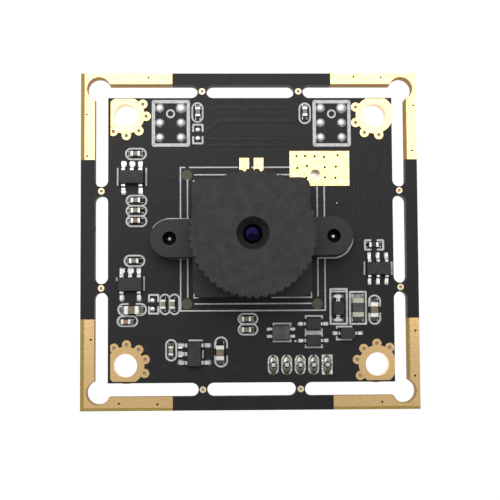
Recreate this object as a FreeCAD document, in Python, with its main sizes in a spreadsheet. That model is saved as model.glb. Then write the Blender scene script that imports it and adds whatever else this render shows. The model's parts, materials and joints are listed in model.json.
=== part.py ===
"""Camera module: a circuit board in a breakaway frame, a screwed-on lens holder, a focusing lens.

Millimetres. +Z runs from the board's back face to the lens, +X is right and +Y is up in the view
from the lens side. The origin lies on the lens axis, in the middle of the four mounting holes, on
the board's back face.
"""
import FreeCAD, Part
import os

import Sketcher

# Driving dimensions

SIZES = {
    # circuit board: the outline is a little off the middle of its mounting holes
    "mounting_pitch": 28.0,
    "mounting_inset": 1.95,
    "frame_width": 1.425,
    "board_offset_x": -0.13,
    "board_offset_y": -0.124,
    "board_thickness": 1.6,
    "copper_thickness": 0.04,
    # routed slots between the inner board and the frame, with two bridges on each side
    "slot_width": 1.5,
    "bridge_middle": 5.425,
    "bridge_width": 0.95,
    "notch_inset": 0.45,
    "notch_radius": 1.3,
    # mounting holes and the plated pads round them
    "mounting_hole_radius": 1.3,
    "mounting_pad_radius": 2.1,
    "pad_corner_radius": 1.95,
    "pad_corner_shift": 0.2,
    "pad_edge_margin": 0.13,
    "lobe_circle_radius": 2.3,
    "lobe_radius": 0.51,
    "lobe_via_radius": 0.2,
    # the copper artwork was printed a little off the drilled holes
    "artwork_shift_x": 0.15,
    "artwork_shift_y": 0.045,
    # ground strips on the corners of the frame
    "strip_slot_margin": 0.05,
    "strip_edge_margin": 0.155,
    "strip_end": 8.92,
    "strip_notch_margin": 0.05,
    "strip_via_radius": 0.12,
    # ground pad beside the lens holder, and the two contact pads
    "shield_hole_radius": 0.575,
    "shield_via_radius": 0.14,
    "contact_pad_wide": 1.08,
    "contact_pad_tall": 1.52,
    # plated holes in the bridges
    "bridge_ring_radius": 0.36,
    "bridge_hole_radius": 0.16,
    # the small plated holes are closed at the back
    "via_floor": 0.1,
    # lens holder
    "holder_turn": 0.7,
    "holder_wall": 0.7,
    "holder_base_height": 3.16,
    "holder_corner_radius": 1.0,
    "holder_boss_height": 1.6,
    "holder_screw_pitch": 18.0,
    "holder_ear_radius": 2.1,
    "sensor_cavity_height": 1.46,
    "filter_shelf_thickness": 0.4,
    "filter_side": 7.0,
    "filter_thickness": 0.3,
    "filter_ledge": 0.8,
    # holder screws
    "screw_radius": 0.72,
    "screw_clearance": 0.03,
    "screw_board_clearance": 0.23,
    "screw_tip_recess": 0.9,
    "screw_point_height": 0.6,
    "screw_point_radius": 0.16,
    "screw_head_radius": 1.5,
    "screw_head_height": 1.1,
    "screw_recess_long": 1.8,
    "screw_recess_wide": 0.4,
    "screw_recess_depth": 0.6,
    # image sensor
    "sensor_side": 8.0,
    "sensor_margin": 0.75,
    "sensor_height": 0.9,
    "sensor_floor": 0.3,
    "sensor_glass_side": 6.6,
    "sensor_glass_thickness": 0.3,
    "sensor_glass_clearance": 0.05,
    "sensor_glass_ledge": 0.4,
    "sensor_die_long": 5.0,
    "sensor_die_wide": 4.0,
    "sensor_die_thickness": 0.25,
    # lens barrel
    "thread_radius": 5.8,
    "thread_clearance": 0.05,
    "barrel_gap_below": 0.6,
    "barrel_gap_above": 0.6,
    "head_step": 1.0,
    "head_height": 3.2,
    "head_chamfer": 0.12,
    "knurl_count": 48,
    "knurl_depth": 0.3,
    "knurl_width": 0.62,
    "recess_radius": 1.76,
    "aperture_radius": 1.05,
    "aperture_length": 0.5,
    # glass and rings inside the barrel
    "glass_clearance": 0.05,
    "stack_clearance": 0.02,
    "front_lens_radius": 2.3,
    "front_lens_thickness": 1.08,
    "front_dome_radius": 1.0,
    "front_dome_height": 0.3,
    "spacer_height": 0.72,
    "spacer_wall": 0.7,
    "rear_lens_radius": 3.55,
    "rear_lens_thickness": 1.28,
    "rear_dome_height": 0.35,
    "ring_setback": 0.5,
    "ring_height": 0.7,
    "ring_wall": 1.15,
    "ring_slot_width": 0.6,
    "ring_slot_depth": 0.35,
    # microphone footprints: two columns of three soldered pads each
    "microphone_column_pitch": 2.36,
    "microphone_row_pitch": 1.66,
    "bump_radius": 0.53,
    "large_bump_radius": 0.61,
    "bump_height": 0.36,
    # solder; the shares are those of a mound's top, in its foot and in its lead's thickness
    "solder_film": 0.05,
    "mound_top_share": 0.62,
    "mound_height_share": 0.75,
    # 0402, 0603 and 0805 chips: their length runs from cap to cap
    "cap_step": 0.02,
    "chip_0402_long": 1.0,
    "chip_0402_wide": 0.5,
    "chip_0402_tall": 0.5,
    "chip_0402_cap": 0.22,
    "chip_0402_pad_wide": 0.55,
    "chip_0402_pad_end": 0.84,
    "chip_0402_fillet": 0.32,
    "chip_0603_long": 1.6,
    "chip_0603_wide": 0.85,
    "chip_0603_tall": 0.8,
    "chip_0603_cap": 0.42,
    "chip_0603_pad_wide": 0.9,
    "chip_0603_pad_end": 1.28,
    "chip_0603_fillet": 0.42,
    "bead_long": 2.05,
    "bead_wide": 1.2,
    "bead_tall": 0.9,
    "bead_cap": 0.5,
    "bead_pad_wide": 1.3,
    "bead_pad_end": 1.5,
    "bead_fillet": 0.42,
    "resistor_tall": 0.35,
    # pads of the chips that were left out
    "bare_pad_wide": 0.62,
    "bare_pad_long": 0.55,
    "bare_pad_pitch": 0.96,
    # packages with leads: row is along the leads' row, depth is from lead side to lead side
    "diode_row": 1.25,
    "diode_depth": 1.7,
    "diode_height": 0.9,
    "diode_standoff": 0.05,
    "diode_draft": 0.08,
    "diode_lead_wide": 0.35,
    "diode_lead_thick": 0.14,
    "diode_lead_exit": 0.3,
    "diode_knee": 1.0,
    "diode_lead_slope": 0.26,
    "diode_toe": 1.48,
    "diode_pad_wide": 0.62,
    "diode_pad_end": 1.7,
    "wide_diode_row": 1.23,
    "wide_diode_depth": 1.56,
    "wide_diode_height": 0.95,
    "wide_diode_standoff": 0.05,
    "wide_diode_draft": 0.08,
    "wide_diode_lead_wide": 0.42,
    "wide_diode_lead_thick": 0.15,
    "wide_diode_lead_exit": 0.32,
    "wide_diode_knee": 0.9,
    "wide_diode_lead_slope": 0.2,
    "wide_diode_toe": 1.28,
    "wide_diode_pad_wide": 1.28,
    "wide_diode_pad_end": 1.54,
    "five_lead_row": 2.8,
    "five_lead_depth": 1.6,
    "five_lead_height": 1.1,
    "five_lead_standoff": 0.08,
    "five_lead_draft": 0.1,
    "five_lead_pitch": 0.96,
    "five_lead_lead_wide": 0.42,
    "five_lead_lead_thick": 0.15,
    "five_lead_lead_exit": 0.5,
    "five_lead_knee": 1.0,
    "five_lead_lead_slope": 0.26,
    "five_lead_toe": 1.52,
    "five_lead_pad_wide": 0.7,
    "five_lead_pad_end": 1.85,
    "six_lead_row": 2.8,
    "six_lead_depth": 1.5,
    "six_lead_height": 1.1,
    "six_lead_standoff": 0.08,
    "six_lead_draft": 0.1,
    "six_lead_pitch": 0.96,
    "six_lead_lead_wide": 0.36,
    "six_lead_lead_thick": 0.15,
    "six_lead_lead_exit": 0.5,
    "six_lead_knee": 0.95,
    "six_lead_lead_slope": 0.24,
    "six_lead_toe": 1.45,
    "six_lead_pad_wide": 0.58,
    "six_lead_pad_end": 1.8,
    "four_lead_row": 1.62,
    "four_lead_depth": 2.04,
    "four_lead_height": 1.0,
    "four_lead_standoff": 0.06,
    "four_lead_draft": 0.08,
    "four_lead_pitch": 0.8,
    "four_lead_lead_wide": 0.3,
    "four_lead_lead_thick": 0.14,
    "four_lead_lead_exit": 0.4,
    "four_lead_knee": 1.12,
    "four_lead_lead_slope": 0.1,
    "four_lead_toe": 1.34,
    "four_lead_pad_wide": 0.5,
    "four_lead_pad_end": 1.58,
    "flash_row": 4.9,
    "flash_depth": 3.9,
    "flash_height": 1.5,
    "flash_standoff": 0.1,
    "flash_draft": 0.12,
    "flash_pitch": 1.27,
    "flash_lead_wide": 0.4,
    "flash_lead_thick": 0.2,
    "flash_lead_exit": 0.7,
    "flash_knee": 2.3,
    "flash_lead_slope": 0.25,
    "flash_toe": 3.0,
    "flash_pad_wide": 0.6,
    "flash_pad_end": 3.3,
    # five-pin connector on the back
    "pin_pitch": 1.5,
    "pin_side": 0.4,
    "pin_count": 5,
    "pin_hole_radius": 0.45,
    "pin_tip_height": 0.78,
    "pin_end_setback": 0.7,
    "pin_joint_wide": 1.2,
    "pin_joint_long": 2.2,
    "pin_joint_height": 0.34,
    "pin_joint_foot": 0.08,
    "pin_joint_slope": 0.06,
    "pin_cone_radius": 0.52,
    "pin_cone_top_radius": 0.22,
    "pin_cone_height": 0.64,
    "housing_wall": 0.6,
    "housing_end": 1.5,
    "housing_wide": 3.5,
    "housing_height": 4.7,
    "housing_floor": 1.0,
    "housing_key_wide": 0.8,
    "housing_key_pitch": 4.5,
    # leadless chip and crystal on the back
    "controller_side": 6.0,
    "controller_height": 0.85,
    "controller_corner_mark": 0.5,
    "crystal_long": 3.2,
    "crystal_wide": 2.5,
    "crystal_base": 0.4,
    "crystal_lid": 0.3,
    "crystal_lid_step": 0.2,
}

# Sizes that follow from the driving ones
DERIVED = {
    "inner_side": "mounting_pitch + 2 * mounting_inset",
    "board_side": "inner_side + 2 * slot_width + 2 * frame_width",
    "notch_pitch": "inner_side + 2 * slot_width - 2 * notch_inset",
    "pad_keep_in_side": "inner_side - 2 * pad_edge_margin",
    "strip_inner_side": "inner_side + 2 * slot_width + 2 * strip_slot_margin",
    "strip_outer_side": "board_side - 2 * strip_edge_margin",
    "head_radius": "thread_radius + head_step",
    "holder_boss_radius": "thread_radius + holder_wall",
    "holder_base_side": "2 * thread_radius + 2 * holder_wall",
}

# Places on the board's top face in the copper artwork, as shares of the inner board's side
PLACE_SHARES = {
    "contact_left": (-0.0270, 0.2614),
    "contact_right": (0.0234, 0.2614),
    "shield_pad_low": (0.1329, 0.1862),
    "shield_pad_high": (0.3429, 0.3091),
    "microphone_left": (-0.2861, 0.4097),
    "microphone_right": (0.2804, 0.4094),
    "capacitor_left_high": (-0.4088, 0.3003),
    "capacitor_stack_high": (-0.4082, 0.1364),
    "capacitor_stack_middle": (-0.4082, 0.1003),
    "capacitor_stack_low": (-0.4082, 0.0649),
    "capacitor_left_middle": (-0.4138, -0.0762),
    "capacitor_left_low": (-0.4414, -0.2884),
    "capacitor_below_high": (-0.0226, -0.2809),
    "capacitor_below_low": (-0.0226, -0.3182),
    "capacitor_top_left": (-0.1897, 0.4476),
    "capacitor_top_right": (0.1875, 0.4483),
    "capacitor_pair_left": (-0.3122, -0.2279),
    "capacitor_pair_right": (-0.2796, -0.2279),
    "capacitor_bottom_left": (-0.2853, -0.3897),
    "resistor_right": (0.4254, -0.0226),
    "empty_top_left": (-0.1897, 0.3705),
    "empty_left_low": (-0.3495, -0.2295),
    "tan_capacitor_left": (-0.4213, -0.2480),
    "tan_capacitor_bottom": (-0.1150, -0.3975),
    "tan_capacitor_right": (0.4232, -0.2511),
    "bead_right": (0.3665, -0.2433),
    "diode_upright": (0.2978, -0.2445),
    "diode_left_high": (0.2103, -0.2987),
    "diode_left_low": (0.2107, -0.3571),
    "diode_right": (0.3307, -0.3323),
    "regulator_left_high": (-0.4207, 0.2163),
    "regulator_left_low": (-0.4263, -0.1586),
    "regulator_bottom": (-0.2041, -0.4013),
    "six_lead_right": (0.4392, -0.1066),
    "four_lead_bottom": (0.0978, -0.3292),
    "connector": (0.1639, -0.4404),
    # on the back face
    "controller": (-0.0157, 0.0627),
    "flash_memory": (-0.2038, -0.2665),
    "crystal_back": (0.1975, 0.2132),
    "capacitor_back_one": (0.1317, 0.0815),
    "capacitor_back_two": (-0.1630, 0.1066),
    "capacitor_back_three": (-0.0125, -0.1003),
    "capacitor_back_four": (-0.0815, 0.2132),
    # drilled, so measured from the middle of the mounting holes
    "shield_hole": (0.2285, 0.2279),
}

# Small drilled holes: through the frame's strips, as shares of the whole board's side, and
# through the ground pad beside the holder, as shares of the inner board's side
STRIP_VIA_SHARES = (
    (-0.3028, 0.4834), (-0.4861, 0.3727), (-0.4848, 0.2487),
    (0.3097, 0.4861), (0.3913, 0.4848), (0.4879, 0.3992), (0.4824, 0.2636),
    (-0.4723, -0.2946), (-0.3897, -0.4816), (-0.2771, -0.4842),
    (0.3833, -0.4816), (0.4819, -0.4058), (0.4845, -0.2728),
)
SHIELD_VIA_SHARES = (
    (0.1571, 0.2912), (0.1875, 0.2918), (0.2210, 0.2903), (0.2542, 0.2875), (0.3025, 0.2940),
    (0.1599, 0.2492), (0.1937, 0.2561), (0.2567, 0.2514), (0.2956, 0.2536),
    (0.2574, 0.2157), (0.2940, 0.2141), (0.1912, 0.2141),
)

# Corners of the board, and the directions in degrees of the lobes round each mounting hole
CORNERS = {"top_left": (-1, 1), "top_right": (1, 1), "bottom_left": (-1, -1), "bottom_right": (1, -1)}
LOBE_ANGLES = {
    "top_left": (33, -3, -50, -88, -127),
    "top_right": (157, -158, -120, -78),
    "bottom_left": (123, 87, 50, 17, -22),
    "bottom_right": (91, 53, 131, 167, -147),
}

# Turns about the vertical axis: a chip's length and a package's leads run along Y when upright
UPRIGHT = 0
LYING = 90


# The document and its sheet

doc = FreeCAD.newDocument("camera_module")
dim = doc.addObject("Spreadsheet::Sheet", "dim")


def write_size(row, alias, content):
    """One named number or formula in the sheet."""
    dim.set(f"A{row}", alias)
    dim.set(f"B{row}", str(content))
    dim.setAlias(f"B{row}", alias)


def write_sheet():
    """Fill the sheet with the sizes, the places and the lobe angles."""
    cells = dict(SIZES)
    for name, formula in DERIVED.items():
        cells[name] = f"={formula}"
    places = [(name, share, "inner_side") for name, share in PLACE_SHARES.items()]
    places += [(f"strip_via_{count}", share, "board_side") for count, share in enumerate(STRIP_VIA_SHARES)]
    places += [(f"shield_via_{count}", share, "inner_side") for count, share in enumerate(SHIELD_VIA_SHARES)]
    for name, (x, y), side in places:
        cells[f"{name}_x"] = f"={side} * {x}"
        cells[f"{name}_y"] = f"={side} * {y}"
    for corner, angles in LOBE_ANGLES.items():
        for count, angle in enumerate(angles):
            cells[f"lobe_angle_{corner}_{count}"] = angle
    for row, (alias, content) in enumerate(cells.items(), start=1):
        write_size(row, alias, content)
    doc.recompute()


write_sheet()

# Heights that several pieces share, as formulas of the sheet
TOP = "dim.board_thickness"
COPPER_TOP = "(dim.board_thickness + dim.copper_thickness)"
THROUGH = ("-dim.board_thickness", "2 * dim.board_thickness")
VIA_DEPTH = ("dim.via_floor", "2 * dim.board_thickness")
BASE_TOP = f"({COPPER_TOP} + dim.holder_base_height)"
BOSS_TOP = f"({BASE_TOP} + dim.holder_boss_height)"
CAVITY_TOP = f"({COPPER_TOP} + dim.sensor_cavity_height)"
SHELF_TOP = f"({CAVITY_TOP} + dim.filter_shelf_thickness)"
FILTER_TOP = f"({SHELF_TOP} + dim.filter_thickness)"
BARREL_BOTTOM = f"({FILTER_TOP} + dim.barrel_gap_below)"
HEAD_BOTTOM = f"({BOSS_TOP} + dim.barrel_gap_above)"
HEAD_TOP = f"({HEAD_BOTTOM} + dim.head_height)"
RING_BOTTOM = f"({BARREL_BOTTOM} + dim.ring_setback)"
RING_TOP = f"({RING_BOTTOM} + dim.ring_height)"
REAR_LENS_TOP = f"({RING_TOP} + dim.rear_lens_thickness)"
SPACER_TOP = f"({REAR_LENS_TOP} + dim.spacer_height)"
FRONT_LENS_TOP = f"({SPACER_TOP} + dim.front_lens_thickness)"
APERTURE_BOTTOM = f"({FRONT_LENS_TOP} + dim.stack_clearance)"
APERTURE_TOP = f"({APERTURE_BOTTOM} + dim.aperture_length)"

# Plan sizes that several pieces share
SLOT_INNER = "(dim.inner_side / 2)"
SLOT_MIDDLE = "(dim.inner_side / 2 + dim.slot_width / 2)"
SLOT_OUTER = "(dim.inner_side / 2 + dim.slot_width)"
SLOT_END_RADIUS = "(dim.slot_width / 2)"
PLATED_HOLE_RADIUS = "(dim.mounting_hole_radius + dim.copper_thickness)"
BRIDGE_BARREL_RADIUS = "(dim.bridge_hole_radius + dim.copper_thickness)"
SHIELD_BARREL_RADIUS = "(dim.shield_hole_radius + dim.copper_thickness)"
HOLDER_BORE_RADIUS = "(dim.thread_radius + dim.thread_clearance)"
REAR_BORE_RADIUS = "(dim.rear_lens_radius + dim.glass_clearance)"
FRONT_BORE_RADIUS = "(dim.front_lens_radius + dim.glass_clearance)"
HOUSING_LONG = "((dim.pin_count - 1) * dim.pin_pitch + 2 * dim.housing_end)"


# Small tools

def value(formula):
    """The number that a formula of the sheet gives now."""
    return float(dim.evalExpression(formula))


def span(size, middle="0"):
    """Both ends of a size laid round a middle."""
    return (f"{middle} - ({size}) / 2", f"{middle} + ({size}) / 2")


def seat(thing, x="0", y="0", z="0", turn=None):
    """Tie an object's place to formulas, and turn it about the vertical axis."""
    for axis, formula in zip("xyz", (x, y, z)):
        thing.setExpression(f"Placement.Base.{axis}", str(formula))
    if turn is not None:
        thing.setExpression("Placement.Rotation.Angle", str(turn))
    return thing


def block(name, x, y, z):
    """Box between two formulas along each axis."""
    box = doc.addObject("Part::Box", name)
    for size, (low, high) in zip(("Length", "Width", "Height"), (x, y, z)):
        box.setExpression(size, f"({high}) - ({low})")
    return seat(box, x[0], y[0], z[0])


def rod(name, radius, z, x="0", y="0"):
    """Upright cylinder between two heights."""
    cylinder = doc.addObject("Part::Cylinder", name)
    cylinder.setExpression("Radius", radius)
    cylinder.setExpression("Height", f"({z[1]}) - ({z[0]})")
    return seat(cylinder, x, y, z[0])


def cone(name, low_radius, high_radius, z, x="0", y="0"):
    """Upright cone between two heights."""
    solid = doc.addObject("Part::Cone", name)
    solid.setExpression("Radius1", low_radius)
    solid.setExpression("Radius2", high_radius)
    solid.setExpression("Height", f"({z[1]}) - ({z[0]})")
    return seat(solid, x, y, z[0])


def dome(name, x_radius, y_radius, height, x="0", y="0", z="0"):
    """Upper half of an ellipsoid, its flat side down."""
    solid = doc.addObject("Part::Ellipsoid", name)
    solid.setExpression("Radius1", height)
    solid.setExpression("Radius2", x_radius)
    solid.setExpression("Radius3", y_radius)
    solid.Angle1 = 0
    return seat(solid, x, y, z)


def ramp(name, x, far_x, y, z, far_z):
    """Solid from a tall upright face at the near y to a low one at the far y."""
    wedge = doc.addObject("Part::Wedge", name)
    limits = {"X": x, "X2": far_x, "Y": y, "Z": z, "Z2": far_z}
    for axis, (low, high) in limits.items():
        wedge.setExpression(f"{axis}min", low)
        wedge.setExpression(f"{axis}max", high)
    return wedge


def leaning_block(name, low, high, z):
    """Block between a lower and an upper rectangle, each given as its limits along X and Y."""
    wedge = doc.addObject("Part::Wedge", name)
    limits = {"X": low[0], "X2": high[0], "Y": ("0", f"({z[1]}) - ({z[0]})")}
    for axis, (start, end) in (("Z", low[1]), ("Z2", high[1])):
        limits[axis] = (f"-({end})", f"-({start})")
    for axis, (low, high) in limits.items():
        wedge.setExpression(f"{axis}min", low)
        wedge.setExpression(f"{axis}max", high)
    wedge.Placement = FreeCAD.Placement(FreeCAD.Vector(), FreeCAD.Rotation(FreeCAD.Vector(1, 0, 0), 90))
    wedge.setExpression("Placement.Base.z", z[0])
    return wedge


def frustum(name, low_x, low_y, high_x, high_y, z):
    """Block with evenly sloping sides round the Z axis."""
    return leaning_block(name, (span(low_x), span(low_y)), (span(high_x), span(high_y)), z)


def fuse(name, things):
    """One solid out of several that touch."""
    joined = doc.addObject("Part::MultiFuse", name)
    joined.Shapes = things
    return joined


def group(name, things):
    """Separate solids under one name."""
    together = doc.addObject("Part::Compound", name)
    together.Links = things
    return together


def cut(name, base, tool):
    """What is left of the base without the tool."""
    rest = doc.addObject("Part::Cut", name)
    rest.Base = base
    rest.Tool = tool
    return rest


def common(name, first, second):
    """What two solids share."""
    shared = doc.addObject("Part::MultiCommon", name)
    shared.Shapes = [first, second]
    return shared


def copy_of(name, thing, x="0", y="0", z="0", turn=0):
    """The same thing again at another place."""
    link = doc.addObject("App::Link", name)
    link.LinkedObject = thing
    link.LinkTransform = True
    return seat(link, x, y, z, turn)


def four_times(name, thing):
    """The same thing at each quarter turn about the lens axis."""
    return [copy_of(f"{name}_{quarter}", thing, turn=90 * quarter) for quarter in range(4)]


def hung_below(name, thing, place):
    """A thing that was made for the top face, turned over onto the back face."""
    link = doc.addObject("App::Link", name)
    link.LinkedObject = thing
    link.LinkTransform = True
    link.Placement = FreeCAD.Placement(FreeCAD.Vector(), FreeCAD.Rotation(FreeCAD.Vector(1, 0, 0), 180))
    link.setExpression("Placement.Base.x", f"dim.{place}_x")
    link.setExpression("Placement.Base.y", f"dim.{place}_y")
    return link


# Nodes: each label names the file that its solids go to

nodes = {}
members = {}


def add_node(label, thing):
    """Make a document object a node of its own."""
    thing.Label = label
    nodes[label] = thing


def add_member(label, thing):
    """Put a thing in a node that holds several alike."""
    members.setdefault(label, []).append(thing)


def close_nodes():
    """Group the members of each shared node, moved with the artwork."""
    for label, things in members.items():
        together = group(f"{label}_set", things)
        add_node(label, seat(together, "dim.artwork_shift_x", "dim.artwork_shift_y"))


# Sketch tools for the pieces made in bodies

def sketch_on(body, name, role, height="0"):
    """Empty sketch on one of the body's origin planes, lifted by a formula."""
    planes = {feature.Role: feature for feature in body.Origin.OriginFeatures}
    sketch = body.newObject("Sketcher::SketchObject", name)
    sketch.AttachmentSupport = [(planes[role], "")]
    sketch.MapMode = "FlatFace"
    sketch.setExpression("AttachmentOffset.Base.z", height)
    return sketch


def pin_point(sketch, geometry, point, across, up):
    """Hold a point of a sketch at two formulas from the sketch's origin."""
    for direction, formula, axis in (("DistanceX", across, -2), ("DistanceY", up, -1)):
        if formula == "0":
            sketch.addConstraint(Sketcher.Constraint("PointOnObject", geometry, point, axis))
            continue
        distance = Sketcher.Constraint(direction, -1, 1, geometry, point, value(formula))
        index = sketch.addConstraint(distance)
        sketch.setExpression(f"Constraints[{index}]", formula)


def draw_outline(sketch, corners):
    """Closed outline of straight lines through corners given as pairs of formulas."""
    places = [FreeCAD.Vector(value(across), value(up), 0) for across, up in corners]
    count = len(corners)
    lines = [Part.LineSegment(places[step], places[(step + 1) % count]) for step in range(count)]
    first = sketch.addGeometry(lines, False)[0]
    for step, (across, up) in enumerate(corners):
        before = first + (step - 1) % count
        sketch.addConstraint(Sketcher.Constraint("Coincident", before, 2, first + step, 1))
        pin_point(sketch, first + step, 1, across, up)


def draw_rectangle(sketch, long, wide):
    """Rectangle round the sketch's origin."""
    left, right = span(long)
    bottom, top = span(wide)
    draw_outline(sketch, [(left, bottom), (right, bottom), (right, top), (left, top)])


def draw_circle(sketch, radius, across="0", up="0"):
    """Circle with its radius and middle tied to formulas."""
    middle = FreeCAD.Vector(value(across), value(up), 0)
    circle = Part.Circle(middle, FreeCAD.Vector(0, 0, 1), value(radius))
    geometry = sketch.addGeometry(circle, False)
    pin_point(sketch, geometry, 3, across, up)
    index = sketch.addConstraint(Sketcher.Constraint("Radius", geometry, value(radius)))
    sketch.setExpression(f"Constraints[{index}]", radius)


def pad(body, sketch, length):
    """Raise a sketch along its normal."""
    feature = body.newObject("PartDesign::Pad", f"{sketch.Name}_pad")
    feature.Profile = sketch
    feature.setExpression("Length", length)
    doc.recompute()
    return feature


def pocket(body, sketch, depth):
    """Sink a sketch against its normal, and make sure that it took something away."""
    before = body.Shape.Volume
    feature = body.newObject("PartDesign::Pocket", f"{sketch.Name}_pocket")
    feature.Profile = sketch
    feature.Reversed = False
    feature.setExpression("Length", depth)
    doc.recompute()
    if body.Shape.Volume >= before:
        raise ValueError(f"{feature.Name} cuts nothing")
    return feature


# Circuit board and its copper

def make_openings():
    """Routed slots and corner notches, as solids to cut with."""
    ends_at = "(dim.bridge_middle - dim.bridge_width / 2)"
    starts_at = "(dim.bridge_middle + dim.bridge_width / 2)"
    band = (SLOT_INNER, SLOT_OUTER)

    straight_x = span(f"2 * ({ends_at} - {SLOT_END_RADIUS})")
    straight = [block("straight_slot_run", straight_x, band, THROUGH)]
    for side, x in zip(("left", "right"), straight_x):
        straight.append(rod(f"straight_slot_{side}", SLOT_END_RADIUS, THROUGH, x, SLOT_MIDDLE))
    straight_slot = fuse("straight_slot", straight)

    arm_start = f"({starts_at} + {SLOT_END_RADIUS})"
    arms = [
        block("corner_slot_across", (arm_start, SLOT_OUTER), band, THROUGH),
        block("corner_slot_up", band, (arm_start, SLOT_OUTER), THROUGH),
        rod("corner_slot_across_end", SLOT_END_RADIUS, THROUGH, arm_start, SLOT_MIDDLE),
        rod("corner_slot_up_end", SLOT_END_RADIUS, THROUGH, SLOT_MIDDLE, arm_start),
    ]
    corner_slot = fuse("corner_slot", arms)
    notch = rod("corner_notch", "dim.notch_radius", THROUGH, "dim.notch_pitch / 2", "dim.notch_pitch / 2")
    pieces = four_times("straight_slots", straight_slot)
    pieces += four_times("corner_slots", corner_slot)
    pieces += four_times("corner_notches", notch)
    return fuse("openings", pieces)


def mounting_place(corner):
    """Formulas for the middle of one mounting hole."""
    right, up = CORNERS[corner]
    return f"{right} * dim.mounting_pitch / 2", f"{up} * dim.mounting_pitch / 2"


def lobe_places(corner):
    """Formulas for the middles of the lobes round one mounting hole."""
    x, y = mounting_place(corner)
    for count in range(len(LOBE_ANGLES[corner])):
        angle = f"dim.lobe_angle_{corner}_{count}"
        yield (f"{x} + dim.lobe_circle_radius * cos({angle})",
               f"{y} + dim.lobe_circle_radius * sin({angle})")


def bridge_places():
    """Formulas for the middles of the eight bridges."""
    for first in (-1, 1):
        for second in (-1, 1):
            yield f"{first} * dim.bridge_middle", f"{second} * {SLOT_MIDDLE}"
            yield f"{first} * {SLOT_MIDDLE}", f"{second} * dim.bridge_middle"


def make_via_drills():
    """The small drilled holes, as solids to cut with."""
    drills = []
    for count in range(len(STRIP_VIA_SHARES)):
        x, y = f"dim.strip_via_{count}_x", f"dim.strip_via_{count}_y"
        drills.append(rod(f"strip_drill_{count}", "dim.strip_via_radius", VIA_DEPTH, x, y))
    for count in range(len(SHIELD_VIA_SHARES)):
        x = f"dim.shield_via_{count}_x + dim.artwork_shift_x"
        y = f"dim.shield_via_{count}_y + dim.artwork_shift_y"
        drills.append(rod(f"shield_drill_{count}", "dim.shield_via_radius", VIA_DEPTH, x, y))
    for corner in CORNERS:
        for count, (x, y) in enumerate(lobe_places(corner)):
            drills.append(rod(f"lobe_drill_{corner}_{count}", "dim.lobe_via_radius", VIA_DEPTH, x, y))
    return group("via_drills", drills)


def pin_places():
    """Formulas for the connector's pins, in a row along X."""
    for step in range(SIZES["pin_count"]):
        x = f"dim.connector_x + ({step} - (dim.pin_count - 1) / 2) * dim.pin_pitch"
        yield x, "dim.connector_y"


def make_board(openings, via_drills):
    """The board: inner board and frame in one piece, joined by the bridges."""
    blank = block("board_blank", span("dim.board_side", "dim.board_offset_x"),
                  span("dim.board_side", "dim.board_offset_y"), ("0", TOP))
    routed = cut("board_routed", blank, openings)

    holes = [via_drills]
    for corner in CORNERS:
        holes.append(rod(f"mounting_drill_{corner}", PLATED_HOLE_RADIUS, THROUGH, *mounting_place(corner)))
    for count, (x, y) in enumerate(bridge_places()):
        holes.append(rod(f"bridge_drill_{count}", BRIDGE_BARREL_RADIUS, THROUGH, x, y))
    holes.append(rod("shield_drill", SHIELD_BARREL_RADIUS, THROUGH, "dim.shield_hole_x", "dim.shield_hole_y"))
    for side in (-1, 1):
        x = f"{side} * dim.holder_screw_pitch / 2 * cos(dim.holder_turn)"
        y = f"{side} * dim.holder_screw_pitch / 2 * sin(dim.holder_turn)"
        radius = "dim.screw_radius + dim.screw_board_clearance"
        holes.append(rod(f"screw_drill_{side + 1}", radius, THROUGH, x, y))
    for count, (x, y) in enumerate(pin_places()):
        x = f"{x} + dim.artwork_shift_x"
        y = f"{y} + dim.artwork_shift_y"
        holes.append(rod(f"pin_drill_{count}", "dim.pin_hole_radius", THROUGH, x, y))
    add_node("circuit_board", cut("board_drilled", routed, group("board_holes", holes)))


def make_ground_strips(openings, via_drills):
    """Gold-plated strips on the frame's corners, as far as the board and its slots leave them."""
    copper = (TOP, COPPER_TOP)
    bands = []
    for corner, (right, up) in CORNERS.items():
        reach = {}
        for axis, side in (("x", right), ("y", up)):
            shift = f"dim.artwork_shift_{axis}"
            near = f"{shift} + {side} * dim.strip_inner_side / 2"
            far = f"{shift} + {side} * dim.strip_outer_side / 2"
            end = f"{shift} + {side} * dim.strip_end"
            reach[axis] = [pair[::side] for pair in ((near, far), (end, far))]
        bands.append(block(f"strip_up_{corner}", reach["x"][0], reach["y"][1], copper))
        bands.append(block(f"strip_across_{corner}", reach["x"][1], reach["y"][0], copper))
    on_board = block("board_above", span("dim.board_side", "dim.board_offset_x"),
                     span("dim.board_side", "dim.board_offset_y"), THROUGH)
    strips = common("strips_on_board", fuse("strip_bands", bands), on_board)
    routed = cut("strips_routed", strips, openings)
    notch = rod("strip_notch", "dim.notch_radius + dim.strip_notch_margin", THROUGH,
                "dim.notch_pitch / 2", "dim.notch_pitch / 2")
    tools = four_times("strip_notches", notch) + [via_drills]
    add_node("corner_ground_strips", cut("strips_drilled", routed, group("strip_tools", tools)))


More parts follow.
